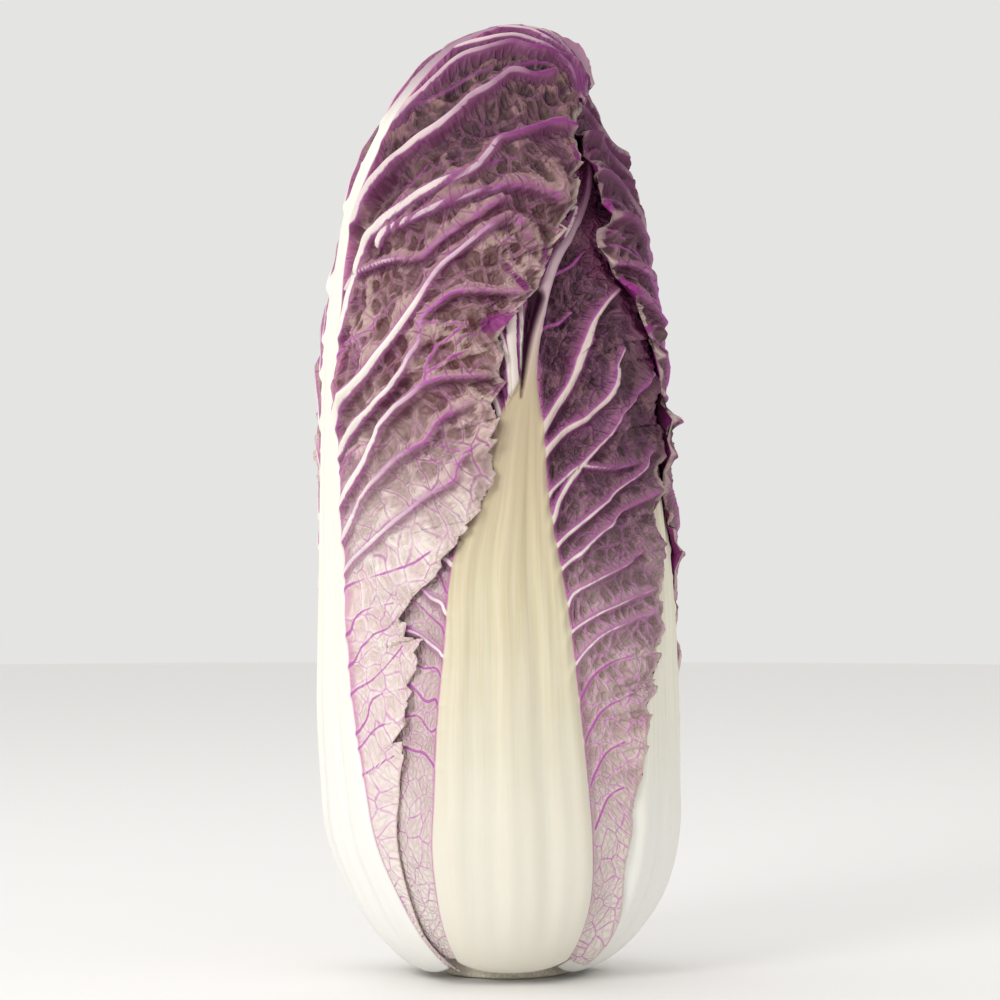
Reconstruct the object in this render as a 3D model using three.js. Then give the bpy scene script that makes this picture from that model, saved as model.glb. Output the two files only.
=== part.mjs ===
// Napa cabbage head standing upright on its trimmed butt.
// Millimetres, Z up, origin in the middle of the cut face, broad front rib towards -Y.
// Azimuth 0 is the front, positive azimuth goes round towards +X.
import * as THREE from "three";

// Head form
const LOW_CENTRE = 60;
const HIGH_CENTRE = 250;
const FOOT_STATIONS = 60;
const CROWN_STATIONS = 80;

// Distance from the centre line to the outside of the head at each station.
// Station 0 looks straight down, 60 to 250 are heights, 330 looks straight up.
const REACH = [
  [0, 60], [7, 61], [14, 64.2], [20, 65.6], [27, 65.2], [35, 64], [45, 62.7], [60, 62.4],
  [90, 63.2], [130, 62.4], [170, 61], [210, 59.2], [230, 57.2], [250, 54], [262, 53.8],
  [275, 55.2], [285, 57.6], [295, 62], [304, 67.5], [312, 73.6], [320, 78], [330, 80.4],
];

// Sideways lean of the head's middle at each height
const LEAN = [
  [0, 0], [15, 0.8], [30, 0.8], [50, -0.6], [90, -2], [130, -2.6], [170, -4.2],
  [215, -6], [250, -5.7], [280, -5.8], [300, -4.8], [312, -3], [320, -0.8], [326, 1.8], [331, 4.8],
];

// Stem and dense heart
const STEM_STATION = 14.2;
const HEART_DEPTH = 9.6;
const HEART_AROUND = 30;
const HEART_ROWS = 26;

// Leaf make-up
const LEAF_GAP = 1;
const BASE_GAP = 0.9;
const BLADE_THICKNESS = 1.3;
const RIB_THICKNESS = 8.2;
const RIB_LEAST = 2.2;
const RIB_COLUMNS = 3;
const BASE_ROWS = 5;
const RAY_STEPS = 3;
const EASE_PASSES = 9;
const EASE_KEEP = 0.9;

// Materials
const CREAM = { color: 0xe6e2cc, roughness: 0.42, metalness: 0 };
const MAUVE = { color: 0xb08a9a, roughness: 0.5, metalness: 0 };
const PURPLE = { color: 0x8d5f78, roughness: 0.5, metalness: 0 };

// Smooth curve through the pairs of a table
function tableAt(table, x) {
  const last = table.length - 1;
  if (x <= table[0][0]) return table[0][1];
  if (x >= table[last][0]) return table[last][1];
  let k = 0;
  while (table[k + 1][0] < x) k += 1;
  const slope = (a, b) => (table[b][1] - table[a][1]) / (table[b][0] - table[a][0]);
  const step = table[k + 1][0] - table[k][0];
  const startSlope = slope(Math.max(k - 1, 0), k + 1) * step;
  const endSlope = slope(k, Math.min(k + 2, last)) * step;
  const f = (x - table[k][0]) / step;
  const g = 1 - f;
  return (
    (1 + 2 * f) * g * g * table[k][1] +
    f * g * g * startSlope +
    f * f * (3 - 2 * f) * table[k + 1][1] -
    f * f * g * endSlope
  );
}

// Repeatable number between -1 and 1 for a pair of whole numbers
function jitter(a, b) {
  const wave = Math.sin(a * 127.1 + b * 311.7 + 17.3) * 43758.5453;
  return (wave - Math.floor(wave)) * 2 - 1;
}

function smooth(low, high, x) {
  const f = Math.min(Math.max((x - low) / (high - low), 0), 1);
  return f * f * (3 - 2 * f);
}

// Point of the head, given by azimuth in degrees, station and offset outwards
function headPoint(azimuth, station, offset = 0) {
  const turn = (azimuth * Math.PI) / 180;
  let pitch = 0;
  let centre = station;
  if (station < LOW_CENTRE) {
    pitch = ((station - LOW_CENTRE) / FOOT_STATIONS) * (Math.PI / 2);
    centre = LOW_CENTRE;
  }
  if (station > HIGH_CENTRE) {
    pitch = ((station - HIGH_CENTRE) / CROWN_STATIONS) * (Math.PI / 2);
    centre = HIGH_CENTRE;
  }
  const reach = tableAt(REACH, station) + offset;
  return new THREE.Vector3(
    reach * Math.cos(pitch) * Math.sin(turn),
    -reach * Math.cos(pitch) * Math.cos(turn),
    centre + reach * Math.sin(pitch),
  );
}

// Ray of the head that passes through a point
function headRay(point) {
  const centre = Math.min(Math.max(point.z, LOW_CENTRE), HIGH_CENTRE);
  const start = new THREE.Vector3(0, 0, centre);
  const direction = point.clone().sub(start);
  direction.normalize();
  const pitch = Math.asin(Math.min(Math.max(direction.z, -1), 1)) / (Math.PI / 2);
  let station = centre;
  if (pitch < 0) station = LOW_CENTRE + pitch * FOOT_STATIONS;
  if (pitch > 0) station = HIGH_CENTRE + pitch * CROWN_STATIONS;
  return { start, direction, station, reach: tableAt(REACH, station) };
}

// Curve through control points, the parameter counts the points
function curveAt(points, index) {
  const last = points.length - 1;
  const k = Math.min(Math.max(Math.floor(index), 0), last - 1);
  const f = index - k;
  const b = points[k];
  const c = points[k + 1];
  const a = k > 0 ? points[k - 1] : b.clone().multiplyScalar(2).sub(c);
  const d = k < last - 1 ? points[k + 2] : c.clone().multiplyScalar(2).sub(b);
  const mix = (p, q, r, s) =>
    0.5 * (2 * q + (r - p) * f + (2 * p - 5 * q + 4 * r - s) * f * f + (3 * q - p - 3 * r + s) * f ** 3);
  return new THREE.Vector3(mix(a.x, b.x, c.x, d.x), mix(a.y, b.y, c.y, d.y), mix(a.z, b.z, c.z, d.z));
}

// Leaves from the innermost to the outermost.
// Curves are pairs of azimuth and station from the base to the tip. Each vein joins a
// point of the midrib to a point of each margin, counted along their lists.
const LEAVES = [
  {
    name: "leaf_back_left",
    seed: 5,
    level: -5.2,
    rise: 4.2,
    frill: [0.3, 0.3],
    columns: 6,
    sink: 1.2,
    bow: 0.5,
    midrib: [
      [-142, 17.5], [-142, 40], [-142, 80], [-143, 120], [-144, 160], [-146, 200],
      [-150, 230], [-156, 255], [-166, 276], [-180, 292],
    ],
    ribHalf: [21, 28, 25, 21, 16, 11, 7, 4, 2.2, 1.2],
    right: [
      [-104, 20], [-102, 46], [-96, 84], [-90, 125], [-88, 165], [-92, 205],
      [-104, 236], [-124, 260], [-148, 280], [-172, 293],
    ],
    left: [
      [180, 20], [-178, 46], [172, 84], [160, 125], [152, 165], [150, 205],
      [154, 236], [162, 260], [168, 280], [173, 291],
    ],
    veins: [
      [1.2, 1.7], [1.8, 2.4], [2.4, 3.1], [2.9, 3.8], [3.4, 4.5], [4, 5.2],
      [4.6, 5.9], [5.2, 6.6], [5.9, 7.3], [6.7, 7.9], [7.6, 8.4],
    ],
  },
  {
    name: "leaf_right",
    seed: 3,
    level: -4.4,
    rise: 4,
    frill: [0.2, 0.5],
    columns: 6,
    sink: 1,
    bow: 0.5,
    midrib: [
      [70, 16.5], [68, 40], [66, 70], [66, 100], [68, 135], [71, 170], [75, 200],
      [80, 230], [85, 255], [90, 276],
    ],
    ribHalf: [19, 25, 24.5, 22, 19, 14, 10, 6.5, 3.5, 1.6],
    right: [
      [102, 18], [100, 42], [108, 74], [120, 108], [130, 142], [135, 176],
      [134, 210], [126, 240], [112, 264], [98, 280],
    ],
    left: [
      [38, 18], [38, 42], [32, 74], [27, 108], [26, 142], [28, 176],
      [36, 210], [48, 240], [64, 264], [82, 280],
    ],
    veins: [
      [1.4, 1.9], [2, 2.6], [2.6, 3.3], [3.2, 4], [3.8, 4.8], [4.4, 5.5],
      [5, 6.2], [5.7, 6.9], [6.5, 7.6], [7.5, 8.3],
    ],
  },
  {
    name: "leaf_front",
    seed: 2,
    level: -3,
    rise: 3.2,
    frill: [0.15, 1],
    columns: 6,
    sink: 2.2,
    bow: 0.65,
    midrib: [
      [3, 20.5], [2, 38], [3, 60], [3, 85], [3, 112], [3, 140], [6, 165], [10, 190],
      [14, 207], [18, 225], [25, 243], [38, 259], [50, 275], [56, 288],
    ],
    ribHalf: [20, 29.3, 30, 27.5, 24, 20, 13, 8, 5.5, 4.2, 3.2, 2.4, 1.8, 1.2],
    right: [
      [50, 22], [47, 34], [44, 48], [47, 66], [50, 84], [53, 98], [58, 116], [62, 133],
      [63, 150], [64, 166], [69, 184], [72, 204], [71, 222], [68, 240], [64, 256],
      [61, 272], [61, 284],
    ],
    left: [
      [-44, 22], [-44, 37], [-46, 54], [-50, 72], [-54, 92], [-58, 112], [-62, 132],
      [-64, 150], [-64, 168], [-62, 188], [-58, 206], [-50, 224], [-38, 242],
      [-20, 258], [5, 272], [35, 283], [50, 290],
    ],
    veins: [
      [2.6, 4.2, 3.6], [3.4, 5.6, 4.6], [4, 6.8, 5.6], [4.5, 7.6, 6.6], [5, 8.4, 7.6],
      [5.5, 9.3, 8.6], [6, 10.2, 9.6], [6.5, 11.2, 10.6], [7, 12.1, 11.6],
      [7.4, 12.9, 12.6], [8, 13.7, 13.4], [9.2, 14.6, 14.2], [10.6, 15.3, 15],
    ],
  },
  {
    name: "leaf_back_right",
    seed: 4,
    level: -1.6,
    rise: 2,
    frill: [1, 1],
    columns: 6,
    sink: 1.4,
    bow: 0.5,
    midrib: [
      [132, 18.5], [130, 40], [127, 80], [125, 120], [123, 160], [119, 200],
      [113, 230], [105, 255], [97, 275], [90, 292], [86, 305], [84, 313],
    ],
    ribHalf: [21, 28, 25, 21, 16, 11, 7.5, 4.8, 3, 2.2, 1.7, 1.3],
    right: [
      [170, 20], [168, 46], [172, 84], [181, 122], [189, 162], [193, 200],
      [190, 232], [182, 258], [170, 280], [150, 298], [122, 311], [98, 316],
    ],
    left: [
      [98, 18], [93, 44], [89, 72], [88, 100], [89, 120], [86, 138], [79, 154],
      [70, 168], [70, 186], [69, 204], [64, 220], [55, 234], [46, 246], [48, 260],
      [54, 274], [57, 290], [66, 304], [76, 312],
    ],
    veins: [
      [1.2, 1.8, 2.6], [1.8, 2.5, 4.2], [2.4, 3.1, 5.6], [3, 3.8, 7], [3.5, 4.4, 8.4],
      [4, 5, 9.7], [4.5, 5.7, 11], [5, 6.4, 12], [5.6, 7.1, 13], [6.3, 7.8, 14],
      [7.2, 8.4, 14.8], [8.2, 9, 15.4],
      [9.3, 9.7, 16.1],
    ],
  },
  {
    name: "leaf_front_left",
    seed: 1,
    level: -1,
    rise: 1.6,
    frill: [1, 1],
    columns: 8,
    sink: 0,
    bow: 0.38,
    midrib: [
      [-66, 18.5], [-67, 40], [-69, 70], [-70, 100], [-70, 135], [-70, 165], [-69, 190],
      [-70, 224], [-74, 246], [-68, 268], [-62, 290], [-56, 308], [-48, 320], [0, 328],
      [80, 321], [82, 311], [78, 303],
    ],
    ribHalf: [19, 25, 23, 19, 15, 12, 10, 8, 6.5, 5.2, 4.4, 3.6, 3, 2.6, 2.2, 1.8, 1.4],
    right: [
      [-33, 18], [-39, 32], [-37, 54], [-33, 76], [-29, 98], [-28, 114], [-30, 128],
      [-18, 142], [-4, 164], [1, 186], [3, 206], [9, 227], [18, 236], [26, 250],
      [37, 271], [44, 288], [53, 299], [63, 302], [73, 301],
    ],
    left: [
      [-98, 18], [-101, 38], [-109, 62], [-120, 92], [-130, 122], [-139, 152],
      [-146, 182], [-152, 212], [-158, 240], [-165, 262], [-176, 280], [168, 294],
      [150, 303], [128, 308], [106, 309], [89, 305],
    ],
    veins: [
      [1.5, 2.7, 1.8], [2, 3.4, 2.5], [2.5, 4.1, 3.2], [3, 4.9, 3.9], [3.5, 6, 4.6],
      [4, 7.2, 5.3], [4.4, 8.9, 5.9], [4.8, 9.7, 6.5], [5.3, 10.4, 7.1], [6, 11.8, 7.8],
      [6.5, 13, 8.5], [6.9, 14, 9.2], [7.6, 15, 9.9], [8.9, 15.7, 10.7], [10.2, 16.2, 11.5],
      [11.4, 16.6, 12.3], [12.4, 16.9, 13], [13.1, 17.2, 13.6], [13.8, 17.5, 14.1], [14.8, 17.7, 14.6],
    ],
  },
];

// Places of the rows of a leaf along its midrib and its two margins, from base to tip.
// The phase is whole on a vein and half way between two veins.
function rowPlaces(leaf) {
  const veins = leaf.veins.map((vein) => [vein[0], vein[1], vein[vein.length - 1]]);
  veins.push([leaf.midrib.length - 1, leaf.right.length - 1, leaf.left.length - 1]);
  const rows = [];
  for (let k = 0; k < BASE_ROWS; k += 1) {
    rows.push({ place: veins[0].map((value) => (value * k) / BASE_ROWS), phase: 0.5 });
  }
  veins.forEach((vein, k) => {
    rows.push({ place: vein, phase: k });
    if (k === veins.length - 1) return;
    rows.push({ place: vein.map((value, n) => (value + veins[k + 1][n]) / 2), phase: k + 0.5 });
  });
  return rows;
}

// Grid of points on the head's surface that follows the veins of a leaf.
// Column 0 is the left margin, the middle column is the midrib.
function leafGrid(leaf, rowSteps, ribColumns, bladeColumns) {
  const midrib = leaf.midrib.map((pair) => headPoint(...pair));
  const margins = [
    leaf.left.map((pair) => headPoint(...pair)),
    leaf.right.map((pair) => headPoint(...pair)),
  ];
  const widths = leaf.ribHalf.map((half, k) => [k, half]);
  const places = rowPlaces(leaf);
  const rowCount = (places.length - 1) * rowSteps + 1;
  const side = ribColumns + bladeColumns;
  const grid = [];
  for (let i = 0; i < rowCount; i += 1) {
    const k = Math.min(Math.floor(i / rowSteps), places.length - 2);
    const f = i / rowSteps - k;
    const blend = (from, to) => from + (to - from) * f;
    const place = places[k].place.map((value, n) => blend(value, places[k + 1].place[n]));
    const middle = curveAt(midrib, place[0]);
    const ahead = curveAt(midrib, Math.min(place[0] + 0.05, midrib.length - 1));
    const behind = curveAt(midrib, Math.max(place[0] - 0.05, 0));
    const along = ahead.sub(behind).normalize();
    const outward = headRay(middle).direction;
    const across = new THREE.Vector3().crossVectors(along, outward).normalize();
    const half = tableAt(widths, place[0]);
    const row = new Array(2 * side + 1);
    row[side] = { point: middle, rib: 0, blade: 0 };
    for (const hand of [-1, 1]) {
      const edge = middle.clone().addScaledVector(across, hand * half);
      edge.copy(onHead(edge, 0));
      const margin = curveAt(margins[hand > 0 ? 1 : 0], place[hand > 0 ? 1 : 2]);
      const teeth = [0, 1].map((n) => jitter(k + n, hand + leaf.seed * 3));
      const tooth = 0.035 * blend(...teeth) * smooth(0.1, 0.3, i / rowCount);
      margin.lerpVectors(edge, margin, 1 + tooth);
      const chord = margin.clone().sub(edge);
      const corner = edge.clone().addScaledVector(along, Math.max(chord.dot(along), 0));
      const control = edge.clone().lerp(margin, 0.5).lerp(corner, leaf.bow);
      for (let j = 1; j <= ribColumns; j += 1) {
        const point = middle.clone().lerp(edge, j / ribColumns);
        row[side + hand * j] = { point, rib: j / ribColumns, blade: 0 };
      }
      for (let j = 1; j <= bladeColumns; j += 1) {
        const s = j / bladeColumns;
        const point = edge.clone().multiplyScalar((1 - s) ** 2);
        point.addScaledVector(control, 2 * s * (1 - s)).addScaledVector(margin, s * s);
        row[side + hand * (ribColumns + j)] = { point, rib: 1, blade: s, hand };
      }
    }
    row.forEach((cell) => {
      cell.progress = i / (rowCount - 1);
      cell.phase = blend(places[k].phase, places[k + 1].phase);
    });
    grid.push(row);
  }
  return grid;
}

function onHead(point, offset) {
  const ray = headRay(point);
  return ray.start.clone().addScaledVector(ray.direction, ray.reach + offset);
}

// Farthest place where a ray leaves the bodies laid so far
function farthestHit(ray, triangles) {
  const { start, direction: d } = ray;
  let farthest = -1;
  for (let n = 0; n < triangles.length; n += 9) {
    const ax = triangles[n];
    const ay = triangles[n + 1];
    const az = triangles[n + 2] - start.z;
    const ux = triangles[n + 3];
    const uy = triangles[n + 4];
    const uz = triangles[n + 5];
    const vx = triangles[n + 6];
    const vy = triangles[n + 7];
    const vz = triangles[n + 8];
    const px = d.y * vz - d.z * vy;
    const py = d.z * vx - d.x * vz;
    const pz = d.x * vy - d.y * vx;
    const det = ux * px + uy * py + uz * pz;
    if (det > -1e-9) continue;
    const u = -(ax * px + ay * py + az * pz) / det;
    if (u < -1e-6 || u > 1 + 1e-6) continue;
    const qx = -(ay * uz - az * uy);
    const qy = -(az * ux - ax * uz);
    const qz = -(ax * uy - ay * ux);
    const v = (d.x * qx + d.y * qy + d.z * qz) / det;
    if (v < -1e-6 || u + v > 1 + 1e-6) continue;
    const distance = (vx * qx + vy * qy + vz * qz) / det;
    if (distance > farthest) farthest = distance;
  }
  return farthest;
}

// Outer height of a leaf above the head's surface, before it is laid over the others
function leafRelief(leaf, cell) {
  const fall = 1 - 0.55 * smooth(0.35, 1, cell.progress);
  const crown = leaf.level + leaf.rise * fall - leaf.sink * smooth(0.45, 0.9, cell.progress);
  const ripple = Math.cos(cell.phase * 2 * Math.PI);
  if (cell.blade === 0) {
    const flute = 0.45 * Math.cos(cell.rib * 3 * Math.PI) * smooth(0, 0.1, cell.progress);
    const shoulder = 0.55 * leaf.rise * fall * cell.rib ** 3;
    return { outer: crown - shoulder + flute, thick: RIB_THICKNESS * (1 - 0.7 * cell.progress) };
  }
  const drop = 0.45 * leaf.rise * fall * smooth(0, 0.25, cell.blade);
  const shoulder = crown - 0.55 * leaf.rise * fall;
  const vein = 1.1 * ripple * smooth(0, 0.3, cell.blade) * smooth(0.08, 0.25, cell.progress);
  const free = leaf.frill[cell.hand > 0 ? 1 : 0];
  const frill = 1.4 * free * jitter(Math.round(cell.phase * 2), leaf.seed + 9) * cell.blade ** 3;
  const flare = 0.8 * cell.blade ** 4;
  const base = RIB_THICKNESS * 0.5 * (1 - smooth(0, 0.2, cell.progress));
  return {
    outer: shoulder - drop + vein + (frill + flare) * smooth(0.1, 0.3, cell.progress),
    thick: BLADE_THICKNESS + base * (1 - cell.blade),
  };
}

// Height that a leaf must keep above what lies under it
function liftOver(leaf, triangles) {
  const fine = leafGrid(leaf, RAY_STEPS, RIB_COLUMNS * RAY_STEPS, leaf.columns * RAY_STEPS);
  const heights = fine.map((row) =>
    row.map((cell) => {
      const ray = headRay(cell.point);
      return farthestHit(ray, triangles) - ray.reach;
    }),
  );
  const lift = [];
  for (let i = 0; i < fine.length; i += RAY_STEPS) {
    const row = [];
    for (let j = 0; j < fine[0].length; j += RAY_STEPS) {
      let highest = -Infinity;
      for (let a = Math.max(i - RAY_STEPS, 0); a <= Math.min(i + RAY_STEPS, fine.length - 1); a += 1) {
        for (let b = Math.max(j - RAY_STEPS, 0); b <= Math.min(j + RAY_STEPS, fine[0].length - 1); b += 1) {
          highest = Math.max(highest, heights[a][b]);
        }
      }
      row.push(highest + LEAF_GAP + BASE_GAP * (1 - smooth(0, 0.2, fine[i][j].progress)));
    }
    lift.push(row);
  }
  return lift;
}

// Let the lifted parts of a leaf fall away gently to their surroundings
function easeLift(extra) {
  let heights = extra;
  for (let pass = 0; pass < EASE_PASSES; pass += 1) {
    heights = heights.map((row, i) =>
      row.map((value, j) => {
        const near = [heights[i - 1]?.[j], heights[i + 1]?.[j], row[j - 1], row[j + 1]];
        const known = near.filter((height) => height !== undefined);
        const mean = known.reduce((sum, height) => sum + height, 0) / known.length;
        return Math.max(extra[i][j], EASE_KEEP * mean);
      }),
    );
  }
  return heights;
}

// Closed body between an outer and an inner sheet of points
function sheetBody(outer, inner) {
  const rows = outer.length;
  const columns = outer[0].length;
  const points = [...outer.flat(), ...inner.flat()];
  const faces = [];
  const at = (i, j, sheet) => sheet * rows * columns + i * columns + j;
  for (let i = 0; i < rows - 1; i += 1) {
    for (let j = 0; j < columns - 1; j += 1) {
      faces.push([at(i, j, 0), at(i, j + 1, 0), at(i + 1, j + 1, 0)]);
      faces.push([at(i, j, 0), at(i + 1, j + 1, 0), at(i + 1, j, 0)]);
      faces.push([at(i, j, 1), at(i + 1, j + 1, 1), at(i, j + 1, 1)]);
      faces.push([at(i, j, 1), at(i + 1, j, 1), at(i + 1, j + 1, 1)]);
    }
  }
  const rim = [];
  for (let j = 0; j < columns - 1; j += 1) rim.push([0, j]);
  for (let i = 0; i < rows - 1; i += 1) rim.push([i, columns - 1]);
  for (let j = columns - 1; j > 0; j -= 1) rim.push([rows - 1, j]);
  for (let i = rows - 1; i > 0; i -= 1) rim.push([i, 0]);
  rim.forEach(([i, j], n) => {
    const [a, b] = rim[(n + 1) % rim.length];
    faces.push([at(i, j, 0), at(i, j, 1), at(a, b, 1)]);
    faces.push([at(i, j, 0), at(a, b, 1), at(a, b, 0)]);
  });
  return { points, faces };
}

function leafBody(leaf, triangles) {
  const grid = leafGrid(leaf, 1, RIB_COLUMNS, leaf.columns);
  const lift = liftOver(leaf, triangles);
  const relief = grid.map((row) => row.map((cell) => leafRelief(leaf, cell)));
  const lack = (shape, height) => Math.max(height - (shape.outer - shape.thick), 0);
  const extra = relief.map((row, i) => row.map((shape, j) => lack(shape, lift[i][j])));
  const eased = easeLift(extra);
  const outer = [];
  const inner = [];
  grid.forEach((row, i) => {
    const outerRow = [];
    const innerRow = [];
    row.forEach((cell, j) => {
      const { outer: top, thick } = relief[i][j];
      const bottom = top - thick + eased[i][j];
      const least = Math.min(thick, BLADE_THICKNESS + (RIB_LEAST - BLADE_THICKNESS) * (1 - cell.blade));
      outerRow.push(onHead(cell.point, Math.max(top, bottom + least)));
      innerRow.push(onHead(cell.point, bottom));
    });
    outer.push(outerRow);
    inner.push(innerRow);
  });
  return sheetBody(outer, inner);
}

// Solid of rings stacked along the centre line and closed at both ends
function ringBody(rings, bottom, top) {
  const count = rings[0].length;
  const points = [...rings.flat(), bottom, top];
  const faces = [];
  for (let i = 0; i < rings.length - 1; i += 1) {
    for (let j = 0; j < count; j += 1) {
      const a = i * count + j;
      const b = i * count + ((j + 1) % count);
      faces.push([a, b, b + count]);
      faces.push([a, b + count, a + count]);
    }
  }
  const high = (rings.length - 1) * count;
  for (let j = 0; j < count; j += 1) {
    const next = (j + 1) % count;
    faces.push([next, j, rings.length * count]);
    faces.push([high + j, high + next, rings.length * count + 1]);
  }
  return { points, faces };
}

// Short trimmed stem, its cut face flat on the ground
function stemBody() {
  const rings = [];
  for (const depth of [0, -4.1, -8.2]) {
    const ring = [];
    for (let j = 0; j < 40; j += 1) {
      const azimuth = j * 9;
      const lobe = 0.5 * Math.cos(((azimuth - 3) * 5 * Math.PI) / 180);
      const point = headPoint(azimuth, STEM_STATION + lobe * 0.6 - 0.6, 0);
      const shrink = (LOW_CENTRE + depth) / LOW_CENTRE;
      ring.push(new THREE.Vector3(point.x * shrink, point.y * shrink, -depth));
    }
    rings.push(ring);
  }
  return ringBody(rings, new THREE.Vector3(0, 0, 0), new THREE.Vector3(0, 0, 8.2));
}

// Tightly packed inner leaves, their ribs and veins showing as low ridges
function heartBody() {
  const rings = [];
  for (let i = 1; i < HEART_ROWS; i += 1) {
    const station = (330 * i) / HEART_ROWS;
    const ring = [];
    for (let j = 0; j < HEART_AROUND; j += 1) {
      const azimuth = (360 * j) / HEART_AROUND;
      const fold = Math.abs(((azimuth + 20 + station * 0.12) % 72) - 36) / 36;
      const ridge = Math.cos((station / 12 + fold * 1.4) * Math.PI);
      const body = smooth(20, 70, station);
      const relief = body * (0.7 * Math.cos(fold * Math.PI) + 0.5 * ridge * (1 - fold));
      ring.push(headPoint(azimuth, station, -HEART_DEPTH - 0.7 * body + relief * 0.6));
    }
    rings.push(ring);
  }
  return ringBody(rings, headPoint(0, 0, -HEART_DEPTH), headPoint(0, 330, -HEART_DEPTH));
}

// Triangles as a corner and two edges each
function edgeForm(body) {
  const list = new Float64Array(body.faces.length * 9);
  body.faces.forEach((face, n) => {
    const [a, b, c] = face.map((k) => body.points[k]);
    list.set([a.x, a.y, a.z, b.x - a.x, b.y - a.y, b.z - a.z, c.x - a.x, c.y - a.y, c.z - a.z], n * 9);
  });
  return list;
}

function meshOf(name, body, look) {
  const positions = [];
  for (const point of body.points) {
    positions.push(point.x + tableAt(LEAN, point.z), point.y, point.z);
  }
  const geometry = new THREE.BufferGeometry();
  geometry.setAttribute("position", new THREE.Float32BufferAttribute(positions, 3));
  geometry.setIndex(body.faces.flat());
  geometry.computeVertexNormals();
  const mesh = new THREE.Mesh(geometry, new THREE.MeshStandardMaterial(look));
  mesh.name = name;
  return mesh;
}

const cabbage = new THREE.Group();
cabbage.name = "napa_cabbage";
const stem = stemBody();
const heart = heartBody();
cabbage.add(meshOf("stem", stem, CREAM));
cabbage.add(meshOf("heart", heart, CREAM));
let laid = [...edgeForm(stem), ...edgeForm(heart)];
for (const leaf of LEAVES) {
  const body = leafBody(leaf, Float64Array.from(laid));
  cabbage.add(meshOf(leaf.name, body, leaf.level < -2 ? MAUVE : PURPLE));
  laid = laid.concat([...edgeForm(body)]);
}

export default cabbage;
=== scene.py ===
# %% [markdown]
# A purple napa cabbage stands on its trimmed butt. The part's solids come first, as the
# frame that every finer piece is laid over. All sizes below are millimetres until a mesh
# is made, because leaf sizes are easier to read that way.

# %% The frame and the tools
import math
import bpy
import numpy as np
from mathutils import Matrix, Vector
from mathutils.bvhtree import BVHTree
from mathutils.kdtree import KDTree


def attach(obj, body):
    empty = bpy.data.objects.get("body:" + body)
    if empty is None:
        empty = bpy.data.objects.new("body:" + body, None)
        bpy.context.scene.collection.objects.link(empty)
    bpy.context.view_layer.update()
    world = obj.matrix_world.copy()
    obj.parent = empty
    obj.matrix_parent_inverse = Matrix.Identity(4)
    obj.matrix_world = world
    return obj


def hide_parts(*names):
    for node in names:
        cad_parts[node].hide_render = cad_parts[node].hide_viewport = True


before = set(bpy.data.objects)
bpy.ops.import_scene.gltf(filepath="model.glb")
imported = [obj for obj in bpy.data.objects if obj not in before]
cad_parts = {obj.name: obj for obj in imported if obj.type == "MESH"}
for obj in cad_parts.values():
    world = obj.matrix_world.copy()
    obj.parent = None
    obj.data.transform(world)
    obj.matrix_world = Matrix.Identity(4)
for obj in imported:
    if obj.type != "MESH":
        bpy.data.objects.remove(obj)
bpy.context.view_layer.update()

MM = 0.001
COARSE = 1


# %% [markdown]
# The head is a stout body whose outside is known from its height and width. Rays leave a
# centre line inside it, straight down at station 0, sideways between heights 60 and 250
# and straight up at station 330. Every leaf is drawn on this body first and then moved
# out or in along the rays, so leaves can be stacked without crossing each other. A
# sculpted mesh could hold the same form, but a short table gives any point of it at once.

# %% The head's form
LOW_CENTRE = 60
HIGH_CENTRE = 250
CROWN_STATIONS = 80
REACH = np.array([
    (0, 60), (7, 61), (14, 64.2), (20, 65.6), (27, 65.2), (35, 64), (45, 62.7), (60, 62.4),
    (90, 63.2), (130, 62.4), (170, 61), (210, 59.2), (230, 57.2), (250, 54), (262, 53.8),
    (275, 55.2), (285, 57.6), (295, 62), (304, 67.5), (312, 73.6), (320, 78), (330, 80.4),
], float)
LEAN = np.array([
    (0, 0), (15, 0.8), (30, 0.8), (50, -0.6), (90, -2), (130, -2.6), (170, -4.2),
    (215, -6), (250, -5.7), (280, -5.8), (300, -4.8), (312, -3), (320, -0.8), (326, 1.8),
    (331, 4.8),
], float)


def table_at(table, x):
    """Smooth curve through the pairs of a table"""
    xs, ys = table[:, 0], table[:, 1]
    x = np.clip(x, xs[0], xs[-1])
    last = len(xs) - 1
    k = np.clip(np.searchsorted(xs, x, side="left") - 1, 0, last - 1)
    before, after = np.maximum(k - 1, 0), np.minimum(k + 2, last)
    step = xs[k + 1] - xs[k]
    rise_in = (ys[k + 1] - ys[before]) / (xs[k + 1] - xs[before]) * step
    rise_out = (ys[after] - ys[k]) / (xs[after] - xs[k]) * step
    f = (x - xs[k]) / step
    g = 1 - f
    ends = (1 + 2 * f) * g * g * ys[k] + f * f * (3 - 2 * f) * ys[k + 1]
    return ends + f * g * g * rise_in - f * f * g * rise_out


def smooth(low, high, x):
    """0 below low, 1 above high, with a soft turn at both"""
    f = np.clip((x - low) / (high - low), 0, 1)
    return f * f * (3 - 2 * f)


def head_point(azimuth, station, offset=0.0):
    """Point of the head from azimuth in degrees, station and offset outwards"""
    turn = np.radians(np.asarray(azimuth, float))
    station = np.asarray(station, float)
    low = np.minimum(station - LOW_CENTRE, 0) / LOW_CENTRE
    high = np.maximum(station - HIGH_CENTRE, 0) / CROWN_STATIONS
    pitch = (low + high) * math.pi / 2
    centre = np.clip(station, LOW_CENTRE, HIGH_CENTRE)
    reach = table_at(REACH, station) + offset
    flat = reach * np.cos(pitch)
    parts = [flat * np.sin(turn), -flat * np.cos(turn), centre + reach * np.sin(pitch)]
    return np.stack(np.broadcast_arrays(*parts), axis=-1)


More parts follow.
